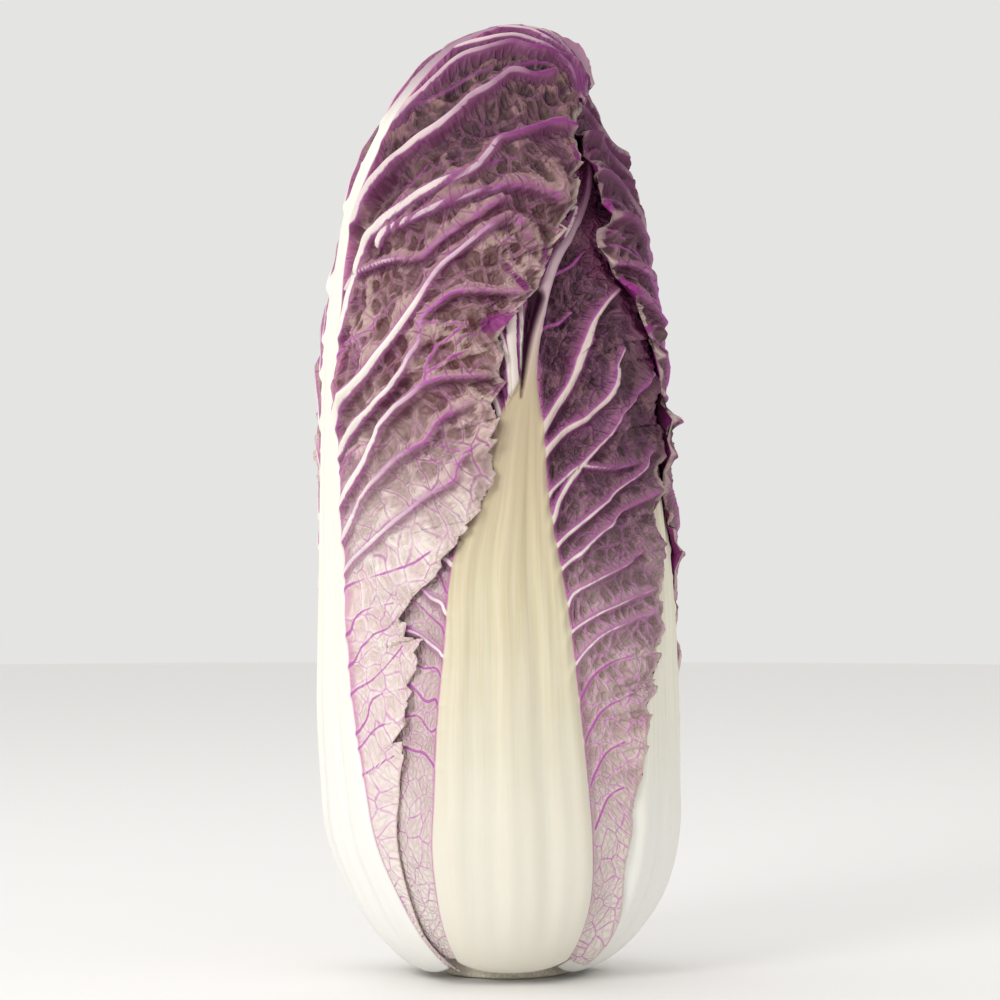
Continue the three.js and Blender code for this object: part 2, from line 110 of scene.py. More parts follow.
def head_ray(points):
    """Start, direction and reach of the ray through each point"""
    start = np.zeros_like(points)
    start[..., 2] = np.clip(points[..., 2], LOW_CENTRE, HIGH_CENTRE)
    direction = points - start
    direction /= np.linalg.norm(direction, axis=-1, keepdims=True)
    pitch = np.arcsin(np.clip(direction[..., 2], -1, 1)) / (math.pi / 2)
    station = start[..., 2] + np.minimum(pitch, 0) * LOW_CENTRE
    station = station + np.maximum(pitch, 0) * CROWN_STATIONS
    return start, direction, table_at(REACH, station)


def on_head(points, offset):
    start, direction, reach = head_ray(points)
    return start + direction * (reach + offset)[..., None]


def leaned(points):
    """The head leans a little, more so at the crown"""
    moved = points.copy()
    moved[..., 0] += table_at(LEAN, points[..., 2])
    return moved


print("crown of the head at", leaned(head_point(0, 330)).round(1))


# %% [markdown]
# Each wrapper leaf is drawn by a midrib, two margins and the side veins that join them.
# A vein is written as a place on the midrib and a place on each margin, counted along
# their lists. The curves are pairs of azimuth and station from the base to the tip. The
# same values make the part's solids, so the fine leaves lie where the plain ones do. A
# leaf could also be cut out of the head's surface, but then its veins would not start at
# its own rib.

# %% The wrapper leaves, from the innermost to the outermost
LEAVES = [
    dict(
        name="leaf_back_left", seed=5, level=-5.2, rise=4.2, sink=1.2, bow=0.5,
        frill=(0.3, 0.3), cell=1.15, mauve=0.35, relief=1.0,
        midrib=[(-142, 17.5), (-142, 40), (-142, 80), (-143, 120), (-144, 160), (-146, 200),
                (-150, 230), (-156, 255), (-166, 276), (-180, 292)],
        rib_half=[21, 28, 25, 21, 16, 11, 7, 4, 2.2, 1.2],
        right=[(-104, 20), (-102, 46), (-96, 84), (-90, 125), (-88, 165), (-92, 205),
               (-104, 236), (-124, 260), (-148, 280), (-172, 293)],
        left=[(180, 20), (-178, 46), (172, 84), (160, 125), (152, 165), (150, 205),
              (154, 236), (162, 260), (168, 280), (173, 291)],
        veins=[(1.2, 1.7), (1.8, 2.4), (2.4, 3.1), (2.9, 3.8), (3.4, 4.5), (4, 5.2),
               (4.6, 5.9), (5.2, 6.6), (5.9, 7.3), (6.7, 7.9), (7.6, 8.4)],
    ),
    dict(
        name="leaf_right", seed=3, level=-4.4, rise=4, sink=1, bow=0.5,
        frill=(0.2, 0.5), cell=1.15, mauve=0.6, relief=1.0,
        midrib=[(70, 16.5), (68, 40), (66, 70), (66, 100), (68, 135), (71, 170), (75, 200),
                (80, 230), (85, 255), (90, 276)],
        rib_half=[19, 25, 24.5, 22, 19, 14, 10, 6.5, 3.5, 1.6],
        right=[(102, 18), (100, 42), (108, 74), (120, 108), (130, 142), (135, 176),
               (134, 210), (126, 240), (112, 264), (98, 280)],
        left=[(38, 18), (38, 42), (32, 74), (27, 108), (26, 142), (28, 176),
              (36, 210), (48, 240), (64, 264), (82, 280)],
        veins=[(1.4, 1.9), (2, 2.6), (2.6, 3.3), (3.2, 4), (3.8, 4.8), (4.4, 5.5),
               (5, 6.2), (5.7, 6.9), (6.5, 7.6), (7.5, 8.3)],
    ),
    dict(
        name="leaf_front", seed=2, level=-3, rise=3.2, sink=2.2, bow=0.65,
        frill=(0.15, 1), cell=0.88, stretch=(1.5, 1), mauve=1.0, relief=1.05, net=1.3,
        midrib=[(3, 20.5), (2, 38), (3, 60), (3, 85), (3, 112), (3, 140), (6, 165), (10, 190),
                (14, 207), (18, 225), (25, 243), (38, 259), (50, 275), (56, 288)],
        rib_half=[20, 29.3, 30, 27.5, 24, 20, 13, 8, 2.8, 2.3, 1.9, 1.5, 1.3, 1.1],
        right=[(50, 22), (47, 34), (44, 48), (47, 66), (50, 84), (53, 98), (58, 116),
               (62, 133), (63, 150), (64, 166), (69, 184), (72, 204), (71, 222), (68, 240),
               (64, 256), (61, 272), (61, 284)],
        left=[(-44, 22), (-44, 37), (-46, 54), (-50, 72), (-54, 92), (-58, 112), (-62, 132),
              (-64, 150), (-64, 168), (-62, 188), (-58, 206), (-50, 224), (-38, 242),
              (-20, 258), (5, 272), (35, 283), (50, 290)],
        veins=[(2.6, 4.2, 3.6), (3.4, 5.6, 4.6), (4, 6.8, 5.6), (4.5, 7.6, 6.6),
               (5, 8.4, 7.6), (5.5, 9.3, 8.6), (6, 10.2, 9.6), (6.5, 11.2, 10.6),
               (7, 12.1, 11.6), (7.4, 12.9, 12.6), (8, 13.7, 13.4), (9.2, 14.6, 14.2),
               (10.6, 15.3, 15)],
    ),
    dict(
        name="leaf_back_right", seed=4, level=-1.6, rise=2, sink=1.4, bow=0.5,
        frill=(0.35, 0.9), cell=1.15, mauve=0.75, relief=1.2,
        midrib=[(132, 18.5), (130, 40), (127, 80), (125, 120), (123, 160), (119, 200),
                (113, 230), (105, 255), (97, 275), (90, 292), (86, 305), (84, 313)],
        rib_half=[21, 28, 25, 21, 16, 11, 7.5, 4.8, 3, 2.2, 1.7, 1.3],
        right=[(170, 20), (168, 46), (172, 84), (181, 122), (189, 162), (193, 200),
               (190, 232), (182, 258), (170, 280), (150, 298), (122, 311), (98, 316)],
        left=[(98, 18), (93, 44), (89, 72), (88, 100), (89, 120), (86, 138), (79, 154),
              (70, 168), (70, 186), (69, 204), (64, 220), (55, 234), (46, 246), (47, 260),
              (49, 274), (48, 290), (58, 305), (72, 313)],
        veins=[(1.2, 1.8, 2.6), (1.8, 2.5, 4.2), (2.4, 3.1, 5.6), (3, 3.8, 7),
               (3.5, 4.4, 8.4), (4, 5, 9.7), (4.5, 5.7, 11), (5, 6.4, 12), (5.6, 7.1, 13),
               (6.3, 7.8, 14), (7.2, 8.4, 14.8), (8.2, 9, 15.4), (9.3, 9.7, 16.1)],
    ),
    dict(
        name="leaf_front_left", seed=1, level=-1, rise=1.6, sink=0, bow=0.38,
        frill=(1, 1), cell=1.12, stretch=(1.6, 1), mauve=0.0, relief=1.25,
        midrib=[(-66, 18.5), (-67, 40), (-69, 70), (-70, 100), (-70, 135), (-70, 165),
                (-69, 190), (-70, 224), (-74, 246), (-68, 268), (-62, 290), (-56, 308),
                (-48, 320), (0, 328), (80, 321), (82, 311), (78, 303)],
        rib_half=[19, 25, 23, 19, 15, 12, 10, 8, 6.5, 5.2, 4.4, 3.6, 3, 2.6, 2.2, 1.8, 1.4],
        right=[(-33, 18), (-39, 32), (-37, 54), (-33, 76), (-29, 98), (-28, 114), (-30, 128),
               (-18, 142), (-4, 164), (1, 186), (2.5, 205), (5.5, 223), (17, 236), (26, 250),
               (37, 271), (44, 288), (53, 299), (63, 302), (73, 301)],
        left=[(-98, 18), (-101, 38), (-109, 62), (-120, 92), (-130, 122), (-139, 152),
              (-146, 182), (-152, 212), (-158, 240), (-165, 262), (-176, 280), (168, 294),
              (150, 303), (128, 308), (106, 309), (89, 305)],
        veins=[(1.5, 2.7, 1.8), (2, 3.4, 2.5), (2.5, 4.1, 3.2), (3, 4.9, 3.9), (3.5, 6, 4.6),
               (4, 7.2, 5.3), (4.4, 8.9, 5.9), (4.8, 9.7, 6.5), (5.3, 10.4, 7.1),
               (6, 11.8, 7.8), (6.5, 13, 8.5), (6.9, 14, 9.2), (7.6, 15, 9.9),
               (8.9, 15.7, 10.7), (10.2, 16.2, 11.5), (11.4, 16.6, 12.3), (12.4, 16.9, 13),
               (13.1, 17.2, 13.6), (13.8, 17.5, 14.1), (14.8, 17.7, 14.6)],
        stout=[0.7, 0.7, 0.7, 0.8, 0.8, 0.9, 0.9, 0.8, 1.0, 1.25, 0.8, 0.7, 1.8, 1.3, 1.0,
               0.8, 0.8, 0.7, 0.7, 0.6],
    ),
]
print("wrapper leaves:", [leaf["name"] for leaf in LEAVES])


# %% [markdown]
# A leaf's grid has rows that follow the side veins and columns that run lengthwise, so
# veins can be raised simply by their row and the midrib by its column. Rows are packed
# by the real distance between them, which keeps the small faces nearly square. A plain
# square grid would be simpler, but it cuts across the veins and blurs them.

# %% Rows and columns of a leaf
BASE_ROWS = 5
STRIDE = 4


def jitter(a, b):
    """Repeatable number between -1 and 1 for a pair of whole numbers"""
    wave = math.sin(a * 127.1 + b * 311.7 + 17.3) * 43758.5453
    return (wave - math.floor(wave)) * 2 - 1


def curve_at(points, index):
    """Curve through control points, the parameter counts the points"""
    last = len(points) - 1
    k = np.clip(np.floor(index).astype(int), 0, last - 1)
    f = (index - k)[..., None]
    padded = np.vstack([2 * points[0] - points[1], points, 2 * points[-1] - points[-2]])
    a, b, c, d = (padded[k + n] for n in range(4))
    bend = (2 * a - 5 * b + 4 * c - d) * f**2 + (3 * b - a - 3 * c + d) * f**3
    return 0.5 * (2 * b + (c - a) * f + bend)


def row_places(leaf):
    """Places along midrib, right and left margin, and the vein phase, row by row"""
    veins = [(vein[0], vein[1], vein[-1]) for vein in leaf["veins"]]
    veins.append(tuple(len(leaf[key]) - 1 for key in ("midrib", "right", "left")))
    rows = [[v * k / BASE_ROWS for v in veins[0]] + [0.5] for k in range(BASE_ROWS)]
    for k, vein in enumerate(veins):
        rows.append([*vein, k])
        if k < len(veins) - 1:
            rows.append([(a + b) / 2 for a, b in zip(vein, veins[k + 1])] + [k + 0.5])
    return np.array(rows, float)


def fill_rows(leaf, curves):
    """Fine rows between the coarse ones, spaced by the longest gap"""
    places = row_places(leaf)
    steps = []
    for a, b in zip(places[:-1], places[1:]):
        gaps = [np.linalg.norm(curve_at(c, b[n:n + 1]) - curve_at(c, a[n:n + 1]))
                for n, c in enumerate(curves)]
        steps.append(max(2, round(max(gaps) / (leaf["cell"] * COARSE))))
    steps[-1] += -sum(steps) % STRIDE
    index = np.concatenate(
        [k + np.arange(n) / n for k, n in enumerate(steps)] + [[len(steps)]])
    fine = np.stack(
        [np.interp(index, np.arange(len(places)), places[:, n]) for n in range(4)], axis=-1)
    return index, fine


print("rows of the front leaf:", len(row_places(LEAVES[2])))


# %% [markdown]
# The margins and folds of a real leaf are irregular without being rough. A noise texture
# could give that, but a few sine waves with seeded lengths are quick for many points at
# once, and they come out the same in every run.

# %% Ripples for irregular edges and folds
def wander(x, seed, waves=5):
    """Smooth irregular ripple of about unit height and unit wavelength"""
    draw = np.random.default_rng(seed)
    total = np.zeros_like(x, dtype=float)
    for _ in range(waves):
        total += np.sin(x * draw.uniform(3.2, 8.5) + draw.uniform(0, 6.3))
    return total / math.sqrt(waves)


def drift(points, size, seed, waves=9):
    """Smooth irregular field in space with features of the given size in mm"""
    draw = np.random.default_rng(seed)
    total = np.zeros(points.shape[:-1])
    for _ in range(waves):
        way = draw.normal(size=3)
        way *= draw.uniform(0.6, 1.5) * 2.2 / (size * np.linalg.norm(way))
        total += np.sin(points @ way + draw.uniform(0, 6.3))
    return total / math.sqrt(waves)


def pointed(path, size, seed):
    """Irregular row of pointed teeth, between -1 in a notch and 1 at a tip"""
    place = path / size + 0.3 * wander(path / (3.3 * size), seed)
    from_tip = np.abs(2 * (place - np.floor(place)) - 1)
    tall = 0.75 + 0.35 * wander(np.floor(place) * 1.7, seed + 9)
    return (1 - 2 * from_tip**0.75) * np.clip(tall, 0.2, 1.4)


print("teeth at 0, 2 and 4 mm:", pointed(np.array([0.0, 2, 4]), 8, 1).round(2))


# %% [markdown]
# Each half of a leaf is drawn outwards from the midrib. First comes the half width of the
# rib, then the blade as a bent line to the margin, whose end is moved in and out to make
# teeth. Teeth could be cut away with a boolean, but moved points keep the mesh clean.

# %% The leaf drawn on the head's surface
def margin_teeth(leaf, hand, margin):
    """How far a margin's teeth stand out, in mm"""
    path = np.append(0, np.cumsum(np.linalg.norm(np.diff(margin, axis=0), axis=-1)))
    seed = leaf["seed"] * 7 + hand
    free = 0.35 + 0.65 * leaf["frill"][(hand + 1) // 2]
    nick = 3.2 * pointed(path, 10, seed) + 1.6 * pointed(path, 4.6, seed + 3)
    return free * (nick + 1.7 * wander(path / 21, seed + 5))


def half_grid(leaf, hand, middle, along, across, half, margin, index, progress):
    """One side of a leaf: rib columns, then blade columns to the toothed margin"""
    edge = on_head(middle + across * (hand * half)[:, None], np.zeros(len(index)))
    k = np.clip(np.floor(index).astype(int), 0, len(row_places(leaf)) - 2)
    teeth = [np.array([jitter(a + n, hand + leaf["seed"] * 3) for a in k]) for n in (0, 1)]
    tooth = 0.035 * (teeth[0] + (teeth[1] - teeth[0]) * (index - k))
    length = np.maximum(np.linalg.norm(margin - edge, axis=-1), 8)
    ends = smooth(0, 0.02, progress) * smooth(1, 0.985, progress)
    tooth = (tooth + ends * margin_teeth(leaf, hand, margin) / length) * smooth(0.06, 0.2, progress)
    margin = edge + (margin - edge) * (1 + tooth)[:, None]
    chord = margin - edge
    ahead = np.maximum((chord * along).sum(-1), 0)
    corner = edge + along * ahead[:, None]
    control = (edge + margin) / 2 * (1 - leaf["bow"]) + corner * leaf["bow"]
    widest = [half.max(), np.linalg.norm(chord, axis=-1).max() * 1.06]
    stretch = leaf.get("stretch", (1, 1))[(hand + 1) // 2]
    fit = leaf["cell"] * stretch * COARSE * STRIDE
    counts = [STRIDE * max(1, round(width / fit)) for width in widest]
    s = (np.arange(1, counts[0] + 1) / counts[0])[None, :, None]
    rib_part = middle[:, None] * (1 - s) + edge[:, None] * s
    s = (np.arange(1, counts[1] + 1) / counts[1])[None, :, None]
    blade_part = (edge[:, None] * (1 - s)**2 + control[:, None] * 2 * s * (1 - s)
                  + margin[:, None] * s**2)
    points = np.concatenate([rib_part, blade_part], axis=1)
    rib = np.concatenate([np.arange(1, counts[0] + 1) / counts[0], np.ones(counts[1])])
    blade = np.concatenate([np.zeros(counts[0]), np.arange(1, counts[1] + 1) / counts[1]])
    points = on_head(points, np.zeros(points.shape[:2]))
    return points, rib, blade, np.full(sum(counts), hand), net_place(points, blade, leaf, hand)


NET_MARK = 0.45
NET_SQUEEZE = 0.75
NET_DRIFT = ((1.6, 12, 0), (0.6, 4.5, 1))
LEAF_SHIFT = 700
SIDE_SHIFT = 3500


def strayed(field, points, seed):
    """The same field, drawn out of line in space by a large and a small ripple"""
    for amount, size, step in NET_DRIFT:
        field = field + amount * drift(points, size, seed + step)
    return field


def net_place(points, blade, leaf, hand):
    """Flat place in mm of each point, along the side veins and across them"""
    outward = np.linalg.norm(np.diff(points, axis=1), axis=-1)
    along_row = np.concatenate([np.zeros((len(points), 1)), np.cumsum(outward, axis=1)], axis=1)
    mark = int(np.argmin(np.abs(blade - NET_MARK)))
    way = points[:, mark + 1] - points[:, mark - 1]
    way /= np.linalg.norm(way, axis=-1, keepdims=True)
    shift = np.diff(points[:, mark], axis=0)
    forward = (shift * way[:-1]).sum(-1)
    sideways = np.sqrt(np.maximum((shift**2).sum(-1) - forward**2, 0))
    u = along_row - along_row[:, mark:mark + 1] + np.append(0, np.cumsum(forward))[:, None]
    v = np.broadcast_to(NET_SQUEEZE * np.append(0, np.cumsum(sideways))[:, None], u.shape)
    u = strayed(u, points, leaf["seed"] + 70)
    v = strayed(v, points, leaf["seed"] + 80)
    small = leaf.get("net", 1.0)
    shift = LEAF_SHIFT * leaf["seed"] + SIDE_SHIFT * hand
    return np.stack([u * small, v * small + shift, np.zeros_like(u)], axis=-1)


def leaf_grid(leaf):
    curves = [head_point(*np.array(leaf[key], float).T) for key in ("midrib", "right", "left")]
    index, fine = fill_rows(leaf, curves)
    middle = curve_at(curves[0], fine[:, 0])
    last = len(curves[0]) - 1
    along = (curve_at(curves[0], np.minimum(fine[:, 0] + 0.05, last))
             - curve_at(curves[0], np.maximum(fine[:, 0] - 0.05, 0)))
    along /= np.linalg.norm(along, axis=-1, keepdims=True)
    across = np.cross(along, head_ray(middle)[1])
    across /= np.linalg.norm(across, axis=-1, keepdims=True)
    widths = np.array(list(enumerate(leaf["rib_half"])), float)
    half = np.maximum(table_at(widths, fine[:, 0]), 0.8)
    progress = index / index[-1]
    margins = [curve_at(curves[n], fine[:, n]) for n in (2, 1)]
    left, right = (
        half_grid(leaf, hand, middle, along, across, half, margin, index, progress)
        for hand, margin in zip((-1, 1), margins))
    centre = on_head(middle, np.zeros(len(middle)))[:, None]
    points = np.concatenate([left[0][:, ::-1], centre, right[0]], axis=1)
    place = np.concatenate([left[4][:, ::-1], right[4][:, :1], right[4]], axis=1)
    shape = points.shape[:2]
    grid = dict(points=points, place=place, first=int(np.searchsorted(index, BASE_ROWS)))
    for key, n in (("rib", 1), ("blade", 2), ("hand", 3)):
        line = np.concatenate([left[n][::-1], [0], right[n]])
        grid[key] = np.broadcast_to(line, shape)
    for key, line in (("phase", fine[:, 3]), ("progress", progress), ("half", half)):
        grid[key] = np.broadcast_to(line[:, None], shape)
    lengthwise = np.append(0, np.cumsum(np.linalg.norm(np.diff(middle, axis=0), axis=-1)))
    sideways = grid["rib"] * grid["hand"] * (0.4 * grid["half"] + 12)
    lengthwise = np.broadcast_to(lengthwise[:, None], shape)
    grid["rib_place"] = np.stack([sideways, lengthwise, np.full(shape, leaf["seed"] * 50.0)], axis=-1)
    return grid


grids = {}
for leaf in LEAVES:
    grids[leaf["name"]] = leaf_grid(leaf)
    size = grids[leaf["name"]]["points"].shape[:2]
    print(leaf["name"], "grid", size, "triangles about", round(size[0] * size[1] * 2.13))


# %% [markdown]
# Side veins are lines drawn on the leaf. Those on the front of the head are placed where
# the photograph shows them, by the pixel they pass through, and everywhere else they
# follow the rows of the leaf, with a fork and a finer vein between each pair.

# %% Where the photograph shows a point of the head
VIEW_POINT = np.array([-2.3, -1308, 164.3])
PIXEL = 0.3488
PHOTO_MIDDLE = 500
SIGHT_START = 0.93
SIGHT_STEPS = 400


def seen_at(pixels):
    """Points of the head under pixels of the photograph"""
    x, y = np.array(pixels, float).T
    aim = np.stack([VIEW_POINT[0] + (x - PHOTO_MIDDLE) * PIXEL, np.zeros_like(x),
                    VIEW_POINT[2] + (PHOTO_MIDDLE - y) * PIXEL], axis=-1)
    steps = np.linspace(SIGHT_START, 1.0, SIGHT_STEPS)[None, :, None]
    samples = VIEW_POINT + (aim - VIEW_POINT)[:, None] * steps
    samples[..., 0] -= table_at(LEAN, samples[..., 2])
    start, _, reach = head_ray(samples)
    outside = np.linalg.norm(samples - start, axis=-1) - reach
    first = np.argmin(np.maximum(outside, 0), axis=1)
    picked = samples[np.arange(len(x)), first]
    return on_head(picked, np.zeros(len(x)))


print("the head at the photograph's middle:", seen_at([(500, 500)]).round(1))


# %% [markdown]
# The main veins are what the eye follows up the head, so those on the front are listed one
# by one. Each has its half width in mm and its tint, both at the rib and at the tip, and
# then the pixels that it passes. A rule could place them, but it would miss their sway.

# %% The veins that the photograph shows, by half width, tint and pixels
FRONT_LEFT_SEEN = [
    (1.1, 0.5, 0.35, 1, [(387, 127), (409, 101), (433, 77), (450, 61), (468, 51), (485, 46),
                         (502, 41), (516, 39), (537, 46), (559, 54), (576, 61)]),
    (0.5, 0.4, 0.8, 0.9, [(399, 106), (426, 92), (454, 73), (485, 58), (495, 54)]),
    (1.4, 0.6, 0.1, 0.9, [(355, 212), (361, 194), (376, 172), (399, 151), (426, 132),
                          (451, 113), (471, 94), (488, 84), (502, 73), (511, 66), (521, 66),
                          (537, 70), (552, 75)]),
    (0.6, 0.4, 0.8, 1, [(507, 68), (511, 56), (523, 53), (537, 54), (554, 61)]),
    (0.6, 0.4, 0.9, 1, [(385, 222), (399, 192), (411, 175), (420, 163), (426, 156)]),
    (1.75, 0.6, 0, 0.9, [(340, 330), (347, 300), (353, 275), (364, 242), (382, 221),
                         (406, 203), (433, 187), (457, 178), (476, 168), (490, 151),
                         (500, 137), (518, 132), (537, 127), (552, 123), (572, 132)]),
    (1.0, 0.45, 0.4, 1, [(384, 231), (407, 221), (426, 212), (454, 201), (476, 194),
                         (494, 190), (511, 189), (528, 190), (545, 196), (559, 203)]),
    (0.7, 0.45, 0.5, 1, [(352, 275), (375, 264), (399, 259), (423, 258), (440, 242),
                         (459, 228), (476, 218), (494, 206), (504, 202)]),
    (1.35, 0.5, 0, 1, [(337, 434), (345, 408), (362, 383), (377, 361), (391, 342),
                       (407, 319), (418, 303), (426, 290), (442, 266), (459, 252),
                       (473, 240), (485, 230), (502, 221), (513, 220), (523, 232),
                       (531, 246)]),
    (0.5, 0.35, 0.9, 1, [(476, 236), (494, 237), (513, 242)]),
    (1.0, 0.5, 0.2, 1, [(342, 453), (352, 435), (368, 415), (384, 399), (393, 389),
                        (407, 371), (412, 357), (422, 342), (422, 326), (427, 315),
                        (442, 303), (456, 293), (480, 291), (517, 293)]),
    (0.45, 0.35, 0.9, 1, [(422, 324), (437, 323), (454, 323), (464, 324)]),
    (1.25, 0.5, 0.05, 1, [(344, 500), (356, 478), (368, 459), (377, 444), (389, 422),
                          (402, 408), (414, 397), (428, 384), (447, 378), (467, 377),
                          (486, 376)]),
    (0.5, 0.35, 0.8, 1, [(430, 382), (428, 369), (437, 347), (447, 341), (458, 332),
                         (467, 323)]),
    (0.45, 0.3, 0.8, 1, [(431, 373), (445, 362), (460, 354), (479, 351)]),
    (0.75, 0.4, 0.3, 1, [(348, 531), (360, 508), (371, 489), (384, 477), (397, 463),
                         (416, 449), (428, 441), (441, 422), (454, 413), (471, 403)]),
    (0.45, 0.3, 1, 1, [(428, 443), (447, 448), (467, 452), (480, 445), (499, 447)]),
    (0.35, 0.3, 0.8, 1, [(421, 454), (435, 461), (448, 463), (460, 464)]),
    (0.75, 0.4, 0.4, 1, [(350, 564), (372, 542), (400, 518), (428, 496), (455, 481),
                         (459, 467), (467, 452)]),
    (0.5, 0.35, 0.8, 1, [(351, 584), (385, 573), (411, 564), (433, 551)]),
    (0.5, 0.35, 0.8, 1, [(351, 631), (362, 612), (393, 603)]),
    (0.5, 0.35, 0.8, 1, [(351, 665), (359, 649), (372, 636), (388, 628), (401, 612)]),
    (0.45, 0.3, 0.8, 1, [(355, 690), (370, 680), (391, 659), (401, 646)]),
    (0.5, 0.35, 0.8, 1, [(356, 735), (364, 719), (372, 698), (404, 688)]),
    (0.45, 0.3, 0.8, 1, [(357, 752), (375, 728), (406, 721)]),
    (0.45, 0.3, 0.8, 1, [(360, 778), (375, 766), (393, 756)]),
    (0.4, 0.3, 0.9, 1, [(343, 348), (358, 339), (371, 328), (381, 308)]),
    (0.4, 0.3, 0.9, 1, [(348, 459), (358, 448), (371, 444)]),
    (0.45, 0.3, 1, 1, [(476, 168), (502, 158), (513, 156), (537, 163), (559, 163)]),
    (0.45, 0.3, 1, 1, [(494, 178), (518, 173), (525, 184), (545, 185), (562, 192)]),
]
FRONT_SEEN = [
    (3.4, 2.2, 0, 0.1, [(516, 462), (514, 420), (513, 380), (513, 330), (514, 290)]),
    (1.7, 0.8, 0.1, 0.5, [(536, 441), (556, 413), (576, 382), (584, 357), (593, 332),
                          (604, 309), (618, 290)]),
    (1.4, 0.7, 0.1, 0.5, [(548, 452), (567, 433), (590, 416), (609, 394), (615, 368),
                          (622, 350)]),
    (1.1, 0.45, 0.1, 0.6, [(556, 517), (562, 500), (579, 472), (598, 450), (612, 433),
                          (626, 408), (646, 374)]),
    (0.75, 0.35, 0.2, 0.7, [(553, 492), (565, 481), (581, 467), (595, 467), (612, 468),
                          (635, 464)]),
    (0.9, 0.38, 0.15, 0.65, [(559, 545), (584, 523), (612, 497), (635, 475), (649, 452)]),
    (0.8, 0.36, 0.2, 0.65, [(562, 570), (584, 551), (607, 528), (623, 511), (651, 492)]),
    (0.75, 0.34, 0.2, 0.65, [(567, 610), (576, 593), (598, 579), (621, 568), (640, 552)]),
    (0.7, 0.32, 0.3, 0.65, [(573, 632), (598, 615), (621, 604), (645, 590)]),
    (0.65, 0.32, 0.3, 0.7, [(577, 664), (600, 638), (628, 622), (648, 612)]),
    (0.6, 0.4, 0.4, 0.9, [(583, 700), (603, 670), (632, 654)]),
    (0.55, 0.4, 0.5, 0.9, [(588, 742), (606, 712), (634, 694)]),
    (0.5, 0.35, 0.6, 0.9, [(594, 786), (608, 757), (626, 742)]),
    (0.5, 0.35, 0.6, 0.9, [(599, 830), (612, 800), (626, 788)]),
    (0.5, 0.35, 0.4, 0.8, [(546, 330), (557, 325), (567, 323), (582, 312)]),
    (0.5, 0.35, 0.4, 0.8, [(564, 274), (584, 265), (596, 252)]),
]
FOLDED_SEEN = [[(488, 327), (504, 320)], [(507, 268), (524, 288)]]
FRONT_SLIT = [(523, 397), (526, 372), (530, 344), (535, 318), (541, 296)]
print("veins read from the photograph:", len(FRONT_LEFT_SEEN) + len(FRONT_SEEN))


# %% [markdown]
# A vein swells out of the skin without a seam. Bevelled curves laid on the leaf would stay
# separate bodies with hard joints. So each vein is only a row of close points here, and the
# distance from every point of the leaf to the nearest of them gives relief and colour.

# %% Vein lines and the distance to them
VEIN_STEP = 0.5
MAIN_VEIN = 0.62
LEFT_EDGE_PIXEL = 365


def vein_line(points, start, end, tint_start, tint_end):
    """Close points along a vein with half width and tint"""
    count = len(points) - 1
    length = np.linalg.norm(np.diff(points, axis=0), axis=-1).sum()
    index = np.linspace(0, count, max(8, int(length / VEIN_STEP)))
    dense = curve_at(points, index)
    s = (index / count)[:, None]
    width = start + (end * 0.9 - start) * s**0.8
    return np.hstack([dense, width, tint_start + (tint_end - tint_start) * s])


def row_line(leaf, phase, hand, slant=0.0, start=0.0, sway=0.06):
    """Points along a row of a leaf, from the rib's edge outwards"""
    grid = grids[leaf["name"]]
    first = grid["first"]
    columns = np.nonzero((grid["hand"][0] == hand) & (grid["blade"][0] >= start))[0]
    columns = (columns if hand > 0 else columns[::-1])[::3]
    blade = grid["blade"][0, columns]
    ripple = wander(blade * 2.2, leaf["seed"] * 900 + int(phase * 20))
    target = phase + slant * smooth(start, 1, blade) + sway * ripple
    rows = grid["phase"][first:, 0]
    position = np.interp(target, rows, np.arange(len(rows))) + first
    low = np.minimum(position.astype(int), len(rows) + first - 2)
    f = (position - low)[:, None]
    return grid["points"][low, columns] * (1 - f) + grid["points"][low + 1, columns] * f


def grown_veins(leaf, hand, phases):
    """Side veins with a fork each, and a finer vein between two of them"""
    lines = []
    stout = leaf.get("stout", [1.0] * len(leaf["veins"]))
    for k in phases:
        share = k / len(stout)
        size = stout[k] * (0.55 + 0.85 * smooth(0.05, 0.45, share)) * (1 - 0.35 * smooth(0.7, 1, share))
        lines.append(vein_line(row_line(leaf, k, hand), size, 0.45, 0.1, 0.95))
        if k > 1:
            fork = row_line(leaf, k, hand, 0.36, 0.3 + 0.06 * jitter(k, hand))
            lines.append(vein_line(fork, 0.55, 0.35, 0.6, 1))
        between = row_line(leaf, k + 0.55, hand, 0, 0, 0.1)
        lines.append(vein_line(between, 0.42, 0.3, 0.85, 1))
    return lines


def nearest_vein(points, lines):
    """Distance, half width, tint and direction downwards to the nearest line"""
    spots = np.vstack(lines)
    tree = KDTree(len(spots))
    for k, spot in enumerate(spots[:, :3].tolist()):
        tree.insert(spot, k)
    tree.balance()
    found = [tree.find(point)[1:] for point in points.reshape(-1, 3).tolist()]
    order, distance = (np.array(part).reshape(points.shape[:2]) for part in zip(*found))
    distance = np.sqrt(np.maximum(distance**2 - 0.02, 0))
    drop = (spots[order, 2] - points[..., 2]) / np.maximum(distance, 0.3)
    return distance, spots[order, 3], spots[order, 4], np.clip(drop, 0, 1)


